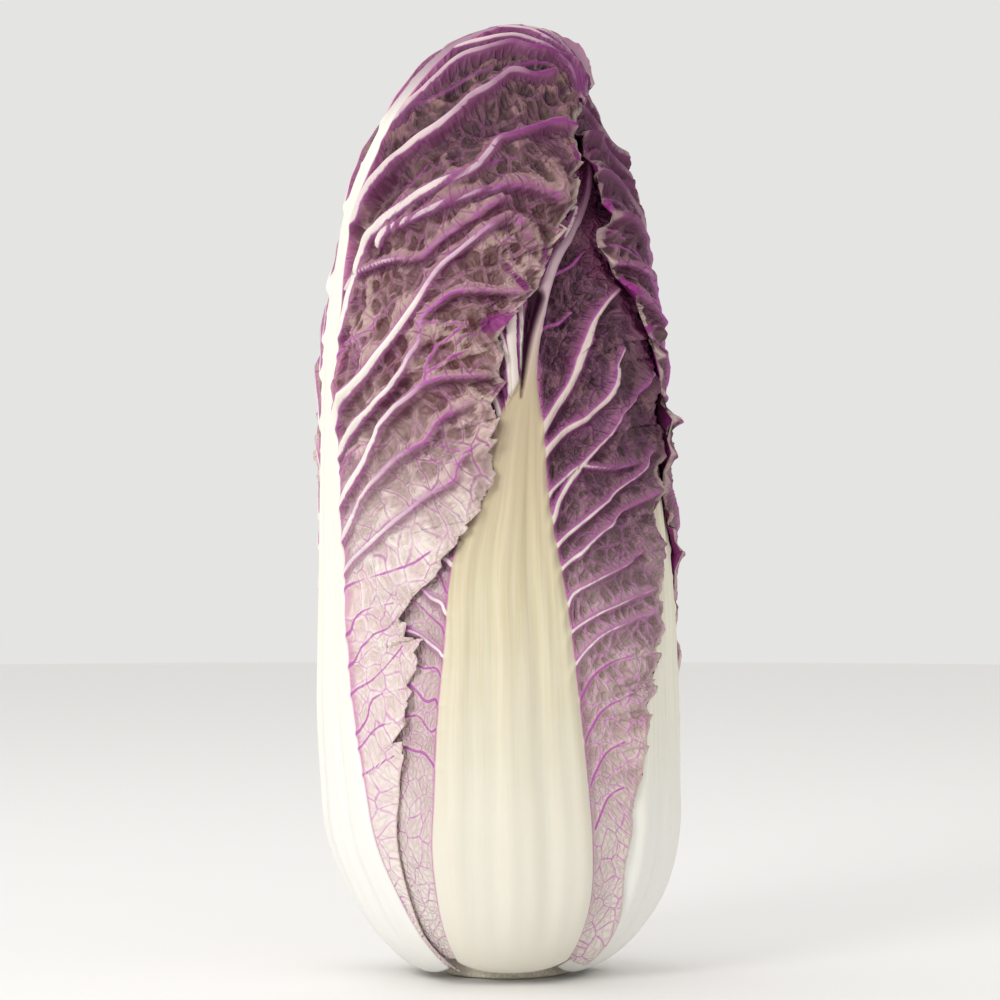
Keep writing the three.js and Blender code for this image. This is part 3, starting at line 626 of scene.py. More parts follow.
def leaf_lines(leaf):
    count = len(leaf["veins"])
    if leaf["name"] == "leaf_front_left":
        seen = FRONT_LEFT_SEEN
        grown = grown_veins(leaf, -1, range(count)) + grown_veins(leaf, 1, range(15, count))
    elif leaf["name"] == "leaf_front":
        seen = FRONT_SEEN
        grown = grown_veins(leaf, -1, range(count))
    else:
        seen = []
        grown = grown_veins(leaf, -1, range(count)) + grown_veins(leaf, 1, range(count))
    side = -7 if leaf["name"] == "leaf_front_left" else -9
    lines = []
    for *sizes, pixels in seen:
        near_rib = sizes[0] > MAIN_VEIN or pixels[0][0] < LEFT_EDGE_PIXEL
        root = [(pixels[0][0] + side, pixels[0][1] + 14)] if near_rib else []
        lines.append(vein_line(seen_at(root + pixels), *sizes))
    return lines + grown


print("vein lines on the front leaf:", len(leaf_lines(LEAVES[2])))


# %% [markdown]
# The small net of veins is a Voronoi pattern on the flattened leaf. The same texture node
# exists for shaders and for geometry, and gives the same cells at the same place, so the
# colour of the net and its relief always fall together. A small geometry node tree reads
# it at each point.

# %% The vein net, read at the points of a mesh
NET_CELL = 6.2
FINE_CELL = 2.7
NET_RANDOM = 0.95


def read_net(places, cell):
    """Distance in mm from flat places to the nearest line of the net"""
    shape = places.shape[:-1]
    flat = places.reshape(-1, 3)
    mesh = bpy.data.meshes.new("net_probe")
    mesh.vertices.add(len(flat))
    mesh.vertices.foreach_set("co", flat.astype(np.float32).ravel())
    probe = bpy.data.objects.new("net_probe", mesh)
    bpy.context.collection.objects.link(probe)
    tree = bpy.data.node_groups.new("net_probe", "GeometryNodeTree")
    for way in ("INPUT", "OUTPUT"):
        tree.interface.new_socket("Geometry", in_out=way, socket_type="NodeSocketGeometry")
    entry, leave = (tree.nodes.new(kind) for kind in ("NodeGroupInput", "NodeGroupOutput"))
    place = tree.nodes.new("GeometryNodeInputPosition")
    net = tree.nodes.new("ShaderNodeTexVoronoi")
    net.feature = "DISTANCE_TO_EDGE"
    net.voronoi_dimensions = "2D"
    net.inputs["Scale"].default_value = 1 / cell
    net.inputs["Randomness"].default_value = NET_RANDOM
    store = tree.nodes.new("GeometryNodeStoreNamedAttribute")
    store.data_type = "FLOAT"
    store.domain = "POINT"
    store.inputs["Name"].default_value = "net"
    tree.links.new(place.outputs[0], net.inputs["Vector"])
    tree.links.new(entry.outputs[0], store.inputs["Geometry"])
    tree.links.new(net.outputs["Distance"], store.inputs["Value"])
    tree.links.new(store.outputs["Geometry"], leave.inputs[0])
    modifier = probe.modifiers.new("net", "NODES")
    modifier.node_group = tree
    ready = probe.evaluated_get(bpy.context.evaluated_depsgraph_get())
    values = np.zeros(len(flat), np.float32)
    ready.data.attributes["net"].data.foreach_get("value", values)
    bpy.data.objects.remove(probe)
    bpy.data.meshes.remove(mesh)
    bpy.data.node_groups.remove(tree)
    return values.reshape(shape) * cell


print("net distance at one point:", read_net(np.array([[3.0, 4, 0]]), NET_CELL))


# %% [markdown]
# Seen from outside, a cabbage leaf shows its underside. The midrib and the side veins
# stand proud, the net of small veins makes sharp crests, and the skin between them sinks
# into pits. Higher up the blade has far more skin than the head is round, so it crumples
# into folds, and at the margin it ruffles. Displacement in a shader would be lost with the
# mesh's export, so the heights are worked out here and move real points.

# %% The relief of a leaf
def soften(field, reach, passes=2):
    """Running mean along rows and columns"""
    for _ in range(passes):
        for axis in (0, 1):
            padding = [(reach + 1, reach) if n == axis else (0, 0) for n in (0, 1)]
            total = np.cumsum(np.pad(field, padding, mode="edge"), axis=axis)
            size = field.shape[axis]
            ends = [np.take(total, np.arange(n, n + size), axis=axis) for n in (0, 2 * reach + 1)]
            field = (ends[1] - ends[0]) / (2 * reach + 1)
    return field


def rib_relief(leaf, grid, crown, fall):
    """Fluted midrib with fine lengthwise streaks"""
    seed = leaf["seed"]
    side = grid["rib"] * grid["hand"]
    bend = 0.5 * drift(grid["points"], 120, seed + 1)
    flute = 0.75 * np.cos(side * 2.6 * math.pi + bend)
    flute += 0.28 * np.cos(side * 6.4 * math.pi + 2.5 * bend + seed)
    flute *= smooth(0, 0.1, grid["progress"]) * smooth(3, 19, grid["half"])
    return crown - 0.55 * leaf["rise"] * fall * grid["rib"]**3 + flute


def folds(leaf, grid, away):
    """Crumples between the veins, with sharp crests"""
    points, seed = grid["points"], leaf["seed"]
    ridge = 1 - np.abs(drift(points, 13, seed + 2)) * 1.3
    crease = 1 - np.abs(drift(points, 6.5, seed + 3)) * 1.3
    swell = drift(points, 17, seed + 6)
    wrinkle = 1 - np.abs(drift(points, 3.9, seed + 9)) * 1.3
    return away * (0.95 * ridge + 0.6 * crease + 0.4 * wrinkle + 0.5 * swell - 0.7)


SLIT_DEPTH = 3.2
COVER_START = 5


def mark_front(leaf, grid):
    """Distances from folded scraps, the slit beside the front rib and the leaf over it"""
    points = grid["points"]
    if leaf["name"] == "leaf_front_left":
        scraps = [vein_line(seen_at(pixels), 0, 0, 0, 0) for pixels in FOLDED_SEEN]
        stray = 0.8 * drift(points, 5, leaf["seed"] + 10)
        grid["folded"] = nearest_vein(points, scraps)[0] + stray
    if leaf["name"] == "leaf_front":
        slit = nearest_vein(points, [vein_line(seen_at(FRONT_SLIT), 0.3, 3.4, 0, 0)])
        grid["slit"] = slit[0] - slit[1]
        # The distance from leaf_back_right's overhanging margin only places a painted shadow on this
        # leaf.
        over = next(other for other in LEAVES if other["name"] == "leaf_back_right")
        rim = head_point(*np.array(over["left"][COVER_START:], float).T)
        grid["cover"] = nearest_vein(points, [vein_line(rim, 0, 0, 0, 0)])[0]


def leaf_relief(leaf, grid):
    rib, blade, progress, points = (grid[k] for k in ("rib", "blade", "progress", "points"))
    rise, seed = leaf["rise"], leaf["seed"]
    fall = 1 - 0.55 * smooth(0.35, 1, progress)
    crown = leaf["level"] + rise * fall - leaf["sink"] * smooth(0.45, 0.9, progress)
    lines = leaf_lines(leaf)
    main = [line for line in lines if line[0, 3] > MAIN_VEIN]
    minor = [line for line in lines if line[0, 3] <= MAIN_VEIN]
    distance, width, tint, drop = nearest_vein(points, main)
    small, small_width, _, _ = nearest_vein(points, minor)
    gap, small_gap = distance - width, small - small_width
    net, fine = read_net(grid["place"], NET_CELL), read_net(grid["place"], FINE_CELL)
    ripe = smooth(0.05, 0.3, progress)
    high = smooth(80, 225, points[..., 2])
    inside = smooth(0, 0.1, blade)
    uneven = 1 + 0.22 * drift(points, 5, seed + 8)
    vein = uneven * (0.42 + 0.7 * width) * np.exp(-(distance / (1.15 * width + 0.5))**2)
    vein = np.maximum(vein, (0.22 + 0.7 * small_width) * np.exp(-(small / (small_width + 0.5))**2))
    valley = -(0.7 + 1.9 * high) * smooth(0.2, 7.0, gap)
    furrow = -(0.3 + 1.7 * high) * drop * np.exp(-((gap - 1.3) / 1.7)**2)
    away = smooth(0.1, 2.6, gap) * (0.35 + 0.65 * smooth(-0.2, 1.1, small_gap))
    patch = np.clip(0.7 + 0.45 * drift(points, 26, seed + 7), 0.15, 1.6)
    pit = -(0.6 + 0.5 * high) * patch * smooth(0.1, 2.0, net) * away
    dimple = -(0.28 + 0.3 * high) * smooth(0.0, 0.9, fine) * away
    crumple = (0.3 + 1.15 * high) * (1.7 - patch) * folds(leaf, grid, away)
    free = np.where(grid["hand"] > 0, leaf["frill"][1], leaf["frill"][0])
    ruffle = (2.3 * drift(points, 12, seed + 4) + 1.5 * drift(points, 6, seed + 5)) * blade**3
    flare = 0.9 * blade**4
    shoulder = crown - 0.55 * rise * fall - 0.45 * rise * fall * smooth(0, 0.25, blade)
    texture = leaf["relief"] * (valley + furrow + pit + dimple + crumple) * inside
    on_blade = shoulder + ripe * (texture + free * ruffle + flare) + vein * smooth(0, 0.1, progress)
    on_rib = rib_relief(leaf, grid, crown, fall)
    join = smooth(0.75, 1, rib) * (blade == 0)
    on_rib = on_rib + vein * join * smooth(0, 0.1, progress)
    outer = np.where(blade > 0, on_blade, on_rib)
    rib_gap = np.where(blade > 0, blade * 45, (rib - 1) * grid["half"])
    mark_front(leaf, grid)
    if "slit" in grid:
        outer = outer - SLIT_DEPTH * (1 - smooth(-2.0, 0.8, grid["slit"]))
    # Where painted shadow falls on the skin: just below the thick veins, on their lower side.
    under = drop * high * np.exp(-((gap - 1.0) / 1.7)**2)
    grid.update(vein_gap=gap, fine_gap=small_gap, vein_tint=tint, rib_gap=rib_gap, under=under,
                crest=outer - soften(outer, 5))
    return outer


heights = {leaf["name"]: leaf_relief(leaf, grids[leaf["name"]]) for leaf in LEAVES}
for name, height in heights.items():
    print(name, "relief from", height.min().round(1), "to", height.max().round(1), "mm")


# %% [markdown]
# Leaves press on each other. Going from the inside outwards, rays are shot back at the
# leaves that already lie on the head, and the next leaf is lifted wherever it would cut
# into them. The lift falls away gently, as a stiff leaf draped over another one would. A
# cloth simulation could settle the leaves too, but rays are quicker and always agree.

# %% Laying a leaf over the others
GAP = 0.35
SKIN = 0.55
RAY_START = 30
RAY_LENGTH = 60
NOTHING_BELOW = -50.0
laid = []


def remember(points, faces):
    laid.append(BVHTree.FromPolygons(points.reshape(-1, 3).tolist(), faces))


def grid_faces(rows, columns, wrap=False):
    i, j = np.meshgrid(np.arange(rows - 1), np.arange(columns - (0 if wrap else 1)), indexing="ij")
    a = (i * columns + j).ravel()
    b = (i * columns + (j + 1) % columns).ravel()
    return np.stack([a, b, b + columns, a + columns], axis=-1)


def height_below(points):
    """Offset of the highest surface under each point"""
    start, direction, reach = head_ray(points)
    origins = (start + direction * (reach + RAY_START)[..., None]).reshape(-1, 3).tolist()
    ways = (-direction).reshape(-1, 3).tolist()
    result = np.full(reach.size, NOTHING_BELOW)
    for tree in laid:
        for k, (origin, way) in enumerate(zip(origins, ways)):
            hit = tree.ray_cast(origin, way, RAY_LENGTH)[3]
            if hit is not None and RAY_START - hit > result[k]:
                result[k] = RAY_START - hit
    return result.reshape(reach.shape)


def spread(field, reach, pick):
    """Highest or lowest value within a few cells"""
    for axis in (0, 1):
        padded = np.pad(field, [(reach, reach) if n == axis else (0, 0) for n in (0, 1)], mode="edge")
        size = field.shape[axis]
        slices = [np.take(padded, np.arange(n, n + size), axis=axis) for n in range(2 * reach + 1)]
        field = pick(slices)
    return field


def ease(least, passes=12, keep=0.93):
    """Let lifted places fall away gently to their surroundings"""
    field = least.copy()
    for _ in range(passes):
        padded = np.pad(field, 1, mode="edge")
        mean = (padded[:-2, 1:-1] + padded[2:, 1:-1] + padded[1:-1, :-2] + padded[1:-1, 2:]) / 4
        field = np.maximum(least, keep * mean)
    return field


def finer(field, shape):
    """Values between the coarse points of a field"""
    rows, columns = np.arange(shape[0]) / STRIDE, np.arange(shape[1]) / STRIDE
    i = np.minimum(rows.astype(int), field.shape[0] - 2)
    j = np.minimum(columns.astype(int), field.shape[1] - 2)
    a, b = (rows - i)[:, None], (columns - j)[None, :]
    low = field[i][:, j] * (1 - b) + field[i][:, j + 1] * b
    high = field[i + 1][:, j] * (1 - b) + field[i + 1][:, j + 1] * b
    return low * (1 - a) + high * a


def lay_leaf(leaf, grid, outer):
    """Offsets of the fine outer face and of the coarse inner face"""
    points = grid["points"]
    probe = height_below(points[::2, ::2])
    below = spread(probe, 2, lambda parts: np.maximum.reduce(parts))[::2, ::2]
    lowest = spread(outer, STRIDE, lambda parts: np.minimum.reduce(parts))[::STRIDE, ::STRIDE]
    lift = ease(np.maximum(below + GAP + SKIN - lowest, 0))
    outer = outer + finer(lift, outer.shape)
    inner = lowest + lift - SKIN
    rim = outer[::STRIDE, ::STRIDE] - SKIN
    for edge in (np.s_[0, :], np.s_[-1, :], np.s_[:, 0], np.s_[:, -1]):
        inner[edge] = rim[edge]
    return outer, inner


print("leaves lie", GAP, "mm apart and their rims are", SKIN, "mm thick")


# %% [markdown]
# A leaf becomes one closed body: a fine outer face, a coarser inner face that is mostly
# hidden, and a narrow rim that joins their edges. A Solidify modifier would be simpler,
# but it would give the inside as many faces as the outside. Facts that the colours need,
# such as the distance from the nearest vein, are kept on the points as named attributes.

# %% Making a leaf's mesh
FAR = 99.0
SHELTERED_MAUVE = 0.45


def leaf_faces(rows, columns):
    outer = grid_faces(rows, columns)
    small_rows, small_columns = (rows - 1) // STRIDE + 1, (columns - 1) // STRIDE + 1
    inner = grid_faces(small_rows, small_columns)[:, ::-1] + rows * columns
    at = lambda i, j: i * columns + j
    low = lambda i, j: rows * columns + (i // STRIDE) * small_columns + j // STRIDE
    ring = [(0, j) for j in range(columns - 1)] + [(i, columns - 1) for i in range(rows - 1)]
    ring += [(rows - 1, j) for j in range(columns - 1, 0, -1)]
    ring += [(i, 0) for i in range(rows - 1, 0, -1)]
    rim = []
    for n in range(0, len(ring), STRIDE):
        run = [ring[(n + m) % len(ring)] for m in range(STRIDE + 1)]
        rim.append([at(*run[0]), low(*run[0]), low(*run[-1])] + [at(*p) for p in run[:0:-1]])
    return outer, inner, rim


def make_mesh(name, points, faces, attributes, groups):
    mesh = bpy.data.meshes.new(name)
    mesh.from_pydata((leaned(points) * MM).tolist(), [], [list(map(int, f)) for f in faces])
    mesh.polygons.foreach_set("use_smooth", np.ones(len(faces), bool))
    mesh.polygons.foreach_set("material_index", np.asarray(groups, np.int32))
    for key, values in attributes.items():
        vector = values.ndim == 2
        layer = mesh.attributes.new(key, "FLOAT_VECTOR" if vector else "FLOAT", "POINT")
        layer.data.foreach_set("vector" if vector else "value", values.astype(np.float32).ravel())
    mesh.update()
    piece = bpy.data.objects.new(name, mesh)
    bpy.context.collection.objects.link(piece)
    return piece


def build_leaf(leaf):
    grid = grids[leaf["name"]]
    outer, inner = lay_leaf(leaf, grid, heights[leaf["name"]])
    points = grid["points"]
    top, bottom = on_head(points, outer), on_head(points[::STRIDE, ::STRIDE], inner)
    top_faces, bottom_faces, rim = leaf_faces(*outer.shape)
    faces = top_faces.tolist() + bottom_faces.tolist() + rim
    groups = [0] * len(top_faces) + [1] * len(bottom_faces) + [0] * len(rim)
    remember(top, top_faces.tolist())
    flat = lambda field: field.reshape(-1, 3) if field.ndim == 3 else field.ravel()
    both = lambda field: np.concatenate([flat(field), flat(field[::STRIDE, ::STRIDE])])
    centre = int(np.argmin(np.abs(grid["hand"][0])))
    spans = [np.linalg.norm(points[:, end] - points[:, centre], axis=-1)[:, None] for end in (0, -1)]
    span = np.where(grid["hand"] < 0, *spans)
    grid["margin_gap"] = (1 - grid["blade"]) * np.maximum(span, 10)
    grid["height"] = points[..., 2]
    sheltered = (leaf["mauve"] == 1) & (grid["hand"] < 0) & (grid["blade"] > 0)
    grid["mauve"] = np.where(sheltered, SHELTERED_MAUVE, leaf["mauve"])
    for key in ("slit", "cover", "folded"):
        grid.setdefault(key, np.full(outer.shape, FAR))
    names = ("place", "rib_place", "height", "crest", "mauve", "rib_gap", "vein_gap", "vein_tint",
             "fine_gap", "margin_gap", "slit", "cover", "folded", "under")
    attributes = {key: both(grid[key]) for key in names}
    every_point = np.concatenate([top.reshape(-1, 3), bottom.reshape(-1, 3)])
    piece = make_mesh(leaf["name"] + "_fine", every_point, faces, attributes, groups)
    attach(piece, "root")
    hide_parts(leaf["name"])
    print(piece.name, "faces", len(faces), "highest", outer.max().round(1))
    return piece


print("outer, inner and rim faces of a small leaf:", [len(part) for part in leaf_faces(9, 9)])


# %% [markdown]
# The dense heart shows only in narrow gaps between the wrapper leaves. It is one body of
# overlapping leaves pressed flat, so low folds run up it and meet at the crown. Single
# inner leaves could be laid as well, but nearly all of them would be hidden. The stem is a
# short disc with a bevelled cut, made from the same kind of rings.

# %% The heart and the stem
HEART_DEPTH = 9.6
STEM_STATION = 14.2
STEM_HEIGHT = 8.2


def closed_rings(name, rings, bottom, top):
    """Closed body from rings of points and one point at each end"""
    rows, columns = rings.shape[:2]
    faces = grid_faces(rows, columns, wrap=True).tolist()
    ends = rows * columns
    for j in range(columns):
        after = (j + 1) % columns
        faces.append([after, j, ends])
        faces.append([ends - columns + j, ends - columns + after, ends + 1])
    points = np.vstack([rings.reshape(-1, 3), bottom, top])
    attributes = dict(place=points, height=points[:, 2])
    piece = make_mesh(name, points, faces, attributes, [0] * len(faces))
    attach(piece, "root")
    remember(points, faces)
    return piece


def build_heart():
    count = 240 // COARSE
    station, azimuth = np.meshgrid(
        np.linspace(3, 327, 260 // COARSE), np.arange(count) * 360 / count, indexing="ij")
    fold = np.abs((azimuth + 20 + station * 0.12) % 72 - 36) / 36
    base = head_point(azimuth, station)
    body = smooth(20, 70, station)
    relief = 0.6 * np.cos(fold * math.pi)
    relief += 0.35 * np.cos((station / 9 + fold * 1.6) * math.pi) * (1 - fold) * smooth(110, 200, station)
    relief += 0.5 * drift(base, 16, 61) * (0.3 + fold) * smooth(110, 200, station)
    relief += 0.35 * np.cos(np.radians(azimuth * 30)) * smooth(180, 110, station)
    rings = head_point(azimuth, station, -HEART_DEPTH - 0.7 * body + relief * 0.55 * body)
    ends = [head_point(0, 0, -HEART_DEPTH), head_point(0, 330, -HEART_DEPTH)]
    piece = closed_rings("heart_fine", rings, *ends)
    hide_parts("heart")
    return piece


def build_stem():
    count = 160
    azimuth = np.arange(count) * 360 / count
    lobe = 0.3 * np.cos(np.radians((azimuth - 3) * 5))
    rings = []
    profile = ((0, 3), (0, 0.9), (0.25, 0.3), (0.9, 0), (3, 0), (5.6, 0), (STEM_HEIGHT, 0))
    for lift, inset in profile:
        ring = head_point(azimuth, STEM_STATION - 0.6 + lobe)
        away = ring[:, :2] / np.linalg.norm(ring[:, :2], axis=-1, keepdims=True)
        ring[:, :2] -= away * (inset + 0.6)
        ring[:, 2] = lift
        rings.append(ring)
    ends = [np.zeros(3), np.array([0, 0, STEM_HEIGHT])]
    piece = closed_rings("stem_fine", np.array(rings), *ends)
    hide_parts("stem")
    return piece


stem, heart = build_stem(), build_heart()
leaf_pieces = {leaf["name"]: build_leaf(leaf) for leaf in LEAVES}


# %% [markdown]
# Colours are worked out as sums in Python. A small class stands for one output of a
# shader node, and adding or multiplying two of them adds the Math node that does it. The
# nodes could be placed and linked by hand, but a sum is shorter and easier to check.

# %% A socket that can be used in a sum
class Flow:
    def __init__(self, tree, socket):
        self.tree, self.socket = tree, socket

    def sum(self, kind, a, b=None):
        node = self.tree.nodes.new("ShaderNodeMath")
        node.operation = kind
        for slot, value in zip(node.inputs, (a, b)):
            put(self.tree, slot, value)
        return Flow(self.tree, node.outputs[0])

    def __add__(self, other):
        return self.sum("ADD", self, other)

    def __sub__(self, other):
        return self.sum("SUBTRACT", self, other)

    def __rsub__(self, other):
        return self.sum("SUBTRACT", other, self)

    def __mul__(self, other):
        return self.sum("MULTIPLY", self, other)

    __radd__, __rmul__ = __add__, __mul__


def put(tree, slot, value):
    """Link a flow to a socket, or set the socket's own value"""
    if isinstance(value, Flow):
        tree.links.new(value.socket, slot)
    elif value is not None:
        slot.default_value = value


class Paint:
    """A material under construction"""

    def __init__(self, name):
        self.material = bpy.data.materials.new(name)
        self.material.use_nodes = True
        self.tree = self.material.node_tree
        self.tree.nodes.clear()

    def node(self, kind, settings=None, output=0, inputs=None):
        """Any node, from its type, settings, wanted output and socket values"""
        node = self.tree.nodes.new(kind)
        for key, value in (settings or {}).items():
            setattr(node, key, value)
        for key, value in (inputs or {}).items():
            put(self.tree, node.inputs[key], value)
        return Flow(self.tree, node.outputs[output])

    def attribute(self, name, output="Fac"):
        return self.node("ShaderNodeAttribute", {"attribute_name": name}, output)

    def step(self, value, low, high):
        """0 below low and 1 above high, softly"""
        return self.node("ShaderNodeMapRange", {"interpolation_type": "SMOOTHSTEP"}, 0,
                         {"Value": value, "From Min": low, "From Max": high})

    def blend(self, factor, a, b):
        return self.node("ShaderNodeMix", {"data_type": "RGBA"}, 2, {0: factor, 6: a, 7: b})

    def noise(self, vector, scale, detail=3.0, rough=0.55):
        return self.node("ShaderNodeTexNoise", None, 0, {
            "Vector": vector, "Scale": scale, "Detail": detail, "Roughness": rough})

    def net(self, vector, cell, kind="2D"):
        """Distance in mm to the nearest line of a vein net"""
        settings = {"feature": "DISTANCE_TO_EDGE", "voronoi_dimensions": kind}
        inputs = {"Vector": vector, "Scale": 1 / cell, "Randomness": NET_RANDOM}
        return self.node("ShaderNodeTexVoronoi", settings, 0, inputs) * cell

    def finish(self, color, roughness, bump, depth, fixed=None):
        inputs = {"Height": bump, "Strength": 1.0, "Distance": depth}
        relief = self.node("ShaderNodeBump", None, 0, inputs)
        inputs = {"Base Color": color, "Roughness": roughness, "Normal": relief, **(fixed or {})}
        shader = self.node("ShaderNodeBsdfPrincipled", None, 0, inputs)
        output = self.tree.nodes.new("ShaderNodeOutputMaterial")
        self.tree.links.new(shader.socket, output.inputs["Surface"])
        return self.material


def tone(red, green, blue):
    """Colour as seen on a screen, turned into the linear values a shader takes"""
    return tuple(((c / 255 + 0.055) / 1.055) ** 2.4 for c in (red, green, blue)) + (1.0,)


print("a cream rib in linear values:", [round(v, 3) for v in tone(232, 228, 205)])


# %% [markdown]
# The skin between the veins is cream pink low on the head, taupe half way up and dark
# maroon at the crown. Light alone could shade the pits, but the colour is darkened there as
# well, partly as the skin's own darker tone and partly as painted shade in the pits of the
# folds and of the vein net, broken up by patches and speckles.

# %% The skin of a leaf between its veins
def skin_colors(p, height, crest, net, mauve, cloud, patchy, speckle):
    uneven = height + cloud * 60
    middle, top = p.step(uneven, 125, 210), p.step(uneven, 210, 300)
    early = p.step(uneven, 60, 190)
    # crest_tone is the skin on the crests. The shaded pit tones are darker copies of it: partly the
    # skin's own darker tone, partly painted shade.
    crest_tone = p.blend(middle, tone(247, 237, 228), tone(204, 176, 166))
    crest_tone = p.blend(top, crest_tone, tone(148, 110, 108))
    shaded_pit_tone = p.blend(middle, tone(226, 204, 198), tone(104, 60, 62))
    shaded_pit_tone = p.blend(top, shaded_pit_tone, tone(58, 24, 36))
    crest_mauve = p.blend(early, tone(226, 208, 200), tone(128, 88, 100))
    crest_mauve = p.blend(top, crest_mauve, tone(98, 46, 74))
    shaded_pit_mauve = p.blend(early, tone(184, 154, 152), tone(64, 24, 44))
    shaded_pit_mauve = p.blend(top, shaded_pit_mauve, tone(60, 14, 42))
    crest_tone = p.blend(mauve, crest_tone, crest_mauve)
    shaded_pit_tone = p.blend(mauve, shaded_pit_tone, shaded_pit_mauve)
    # Painted shade: low marks the hollows of the folds and net_pit_shade the middle of each net cell, and
    # both darken the skin.
    low = 1 - p.step(crest + (speckle - 0.5) * 0.5 - top * 0.6, -0.45, 0.5)
    net_pit_shade = p.step(net + (speckle - 0.5) * 0.6, 0.0, 1.0)
    painted_pit_shade = net_pit_shade * (0.05 + low * 0.33 + patchy * 0.26) + low * 0.4
    skin = p.blend(painted_pit_shade, crest_tone, shaded_pit_tone)
    olive = p.blend(p.step(speckle, 0.5, 0.75) * 0.3, skin, tone(150, 134, 98))
    magenta = p.blend(top, tone(206, 132, 190), tone(112, 34, 92))
    return p.blend(p.step(cloud, 0.02, 0.2) * (0.04 + middle * 0.26), olive, magenta)


print("half way up, skin runs from", tone(104, 60, 62)[:3], "to", tone(204, 176, 166)[:3])


# %% [markdown]
# Veins start white at the rib and turn vivid purple outwards, the thinner ones sooner.
# A soft pink band runs where the blade joins the rib, and thin purple lines edge the
# thick white veins. The cream of the ribs is whiter at the foot. Painted shadow darkens the
# skin below the thick veins, in the slit beside the front rib and where leaf_back_right's
# margin hangs over the front leaf. Each of these is one more layer over the skin, masked by
# a distance that the mesh carries, so it can't slip off the relief as a painted picture could.

# %% The leaf's outside
def leaf_paint():
    p = Paint("leaf_outside")
    where = p.attribute("place", "Vector")
    height, crest, mauve = p.attribute("height"), p.attribute("crest"), p.attribute("mauve")
    rib_gap, vein_gap = p.attribute("rib_gap"), p.attribute("vein_gap")
    fine_gap, margin_gap = p.attribute("fine_gap"), p.attribute("margin_gap")
    cloud = p.noise(where, 0.035, 4.0) - 0.5
    speckle = p.noise(where, 0.7, 5.0, 0.7)
    net, fine_net = p.net(where, NET_CELL), p.net(where, FINE_CELL)
    top, step_up = p.step(height, 225, 315), p.step(height, 110, 200)
    patchy = p.step(p.noise(where, 0.11, 2.0), 0.38, 0.62)
    skin = skin_colors(p, height, crest, net, mauve, cloud, patchy, speckle)
    skin = p.blend((1 - p.step(height + cloud * 40, 12, 90)) * 0.65, skin, tone(242, 234, 224))
    band = 1 - p.step(rib_gap + cloud * 3, 0.3, 4.5)
    skin = p.blend(band * 0.7, skin, tone(196, 104, 166))
    edge_band = (1 - p.step(vein_gap, 0.2, 2.6)) * (0.4 + top * 0.25)
    skin = p.blend(edge_band, skin, tone(150, 66, 130))
    line = p.blend(step_up, tone(202, 126, 186), tone(138, 50, 122))
    line = p.blend(top, line, tone(92, 22, 84))
    line = p.blend(mauve * step_up, line, tone(88, 26, 80))
    skin = p.blend((1 - p.step(fine_net, 0.03, 0.22)) * 0.24, skin, line)
    skin = p.blend((1 - p.step(net, 0.08, 0.5)) * (0.42 + patchy * 0.33 + mauve * 0.2), skin, line)
    vivid = p.blend(top, tone(172, 70, 162), tone(124, 40, 112))
    skin = p.blend((1 - p.step(fine_gap, -0.15, 0.3)) * 0.9, skin, vivid)
    skin = p.blend((1 - p.step(margin_gap, 0.4, 3.0)) * 0.5, skin, tone(218, 196, 186))
    # Painted shadow: dark maroon on the lower side of the thick veins.
    skin = p.blend(p.attribute("under") * 0.85, skin, tone(74, 16, 50))
    pale = p.blend(top, tone(238, 230, 222), tone(214, 188, 192))
    pale = p.blend(mauve * step_up, pale, tone(208, 190, 182))
    tinted = p.step(p.attribute("vein_tint") + cloud * 0.8, 0.35, 0.9)
    vein = p.blend(tinted, pale, vivid)
    rim = p.step(vein_gap, -0.25, 0.15) * (1 - p.step(vein_gap, 0.25, 0.7))
    skin = p.blend(rim * (1 - tinted) * 0.55, skin, vivid)
    color = p.blend(1 - p.step(vein_gap, -0.35, 0.15), skin, vein)
    # Painted shadow: dark magenta where leaf_back_right's margin hangs over the front leaf.
    cover = (1 - p.step(p.attribute("cover"), 1.5, 8.0)) * p.step(height, 150, 200)
    color = p.blend(cover * 0.75, color, tone(84, 8, 58))
    streak_place = p.node("ShaderNodeVectorMath", {"operation": "MULTIPLY"}, 0,
                          {0: p.attribute("rib_place", "Vector"), 1: (0.75, 0.02, 1.0)})
    streak = p.noise(streak_place, 1.0, 3.0)
    cream = p.blend(p.step(streak, 0.3, 0.72), tone(216, 205, 170), tone(236, 230, 206))
    white = p.blend(p.step(streak, 0.3, 0.72), tone(236, 233, 218), tone(246, 244, 234))
    cream = p.blend(mauve, white, cream)
    plain = p.step(mauve, 0.7, 1.0)
    cream = p.blend(plain * 0.5, cream, tone(196, 180, 142))
    foot = p.step(height + cloud * 40, 20, 150)
    rib = p.blend(foot, p.blend(plain, tone(240, 238, 232), tone(232, 227, 213)), cream)
    rib = p.blend(p.step(height, 120, 205) * mauve * 0.8, rib, tone(186, 166, 136))
    rib = p.blend(p.step(height, 195, 235) * mauve, rib, tone(196, 170, 176))
    rib = p.blend(p.step(height, 285 - mauve * 60, 324 - mauve * 24) * 0.85, rib, tone(132, 60, 112))
    color = p.blend(1 - p.step(rib_gap, -0.6, 0.6), color, rib)
    # High on the mauve leaves the colour turns deep magenta: partly the leaf's own purple, partly painted
    # shade of the pockets near the crown.
    color = p.blend(mauve * p.step(height + cloud * 30, 238, 272) * 0.75, color, tone(84, 20, 62))
    flap = p.step(p.noise(where, 0.09, 2.0), 0.53, 0.62) * (1 - p.step(margin_gap, 2.5, 6.0))
    color = p.blend(flap * p.step(height, 170, 230), color, tone(142, 34, 122))
    scrap_tone = p.blend(patchy, tone(104, 18, 84), tone(146, 52, 126))
    color = p.blend(1 - p.step(p.attribute("folded"), 1.4, 2.6), color, scrap_tone)
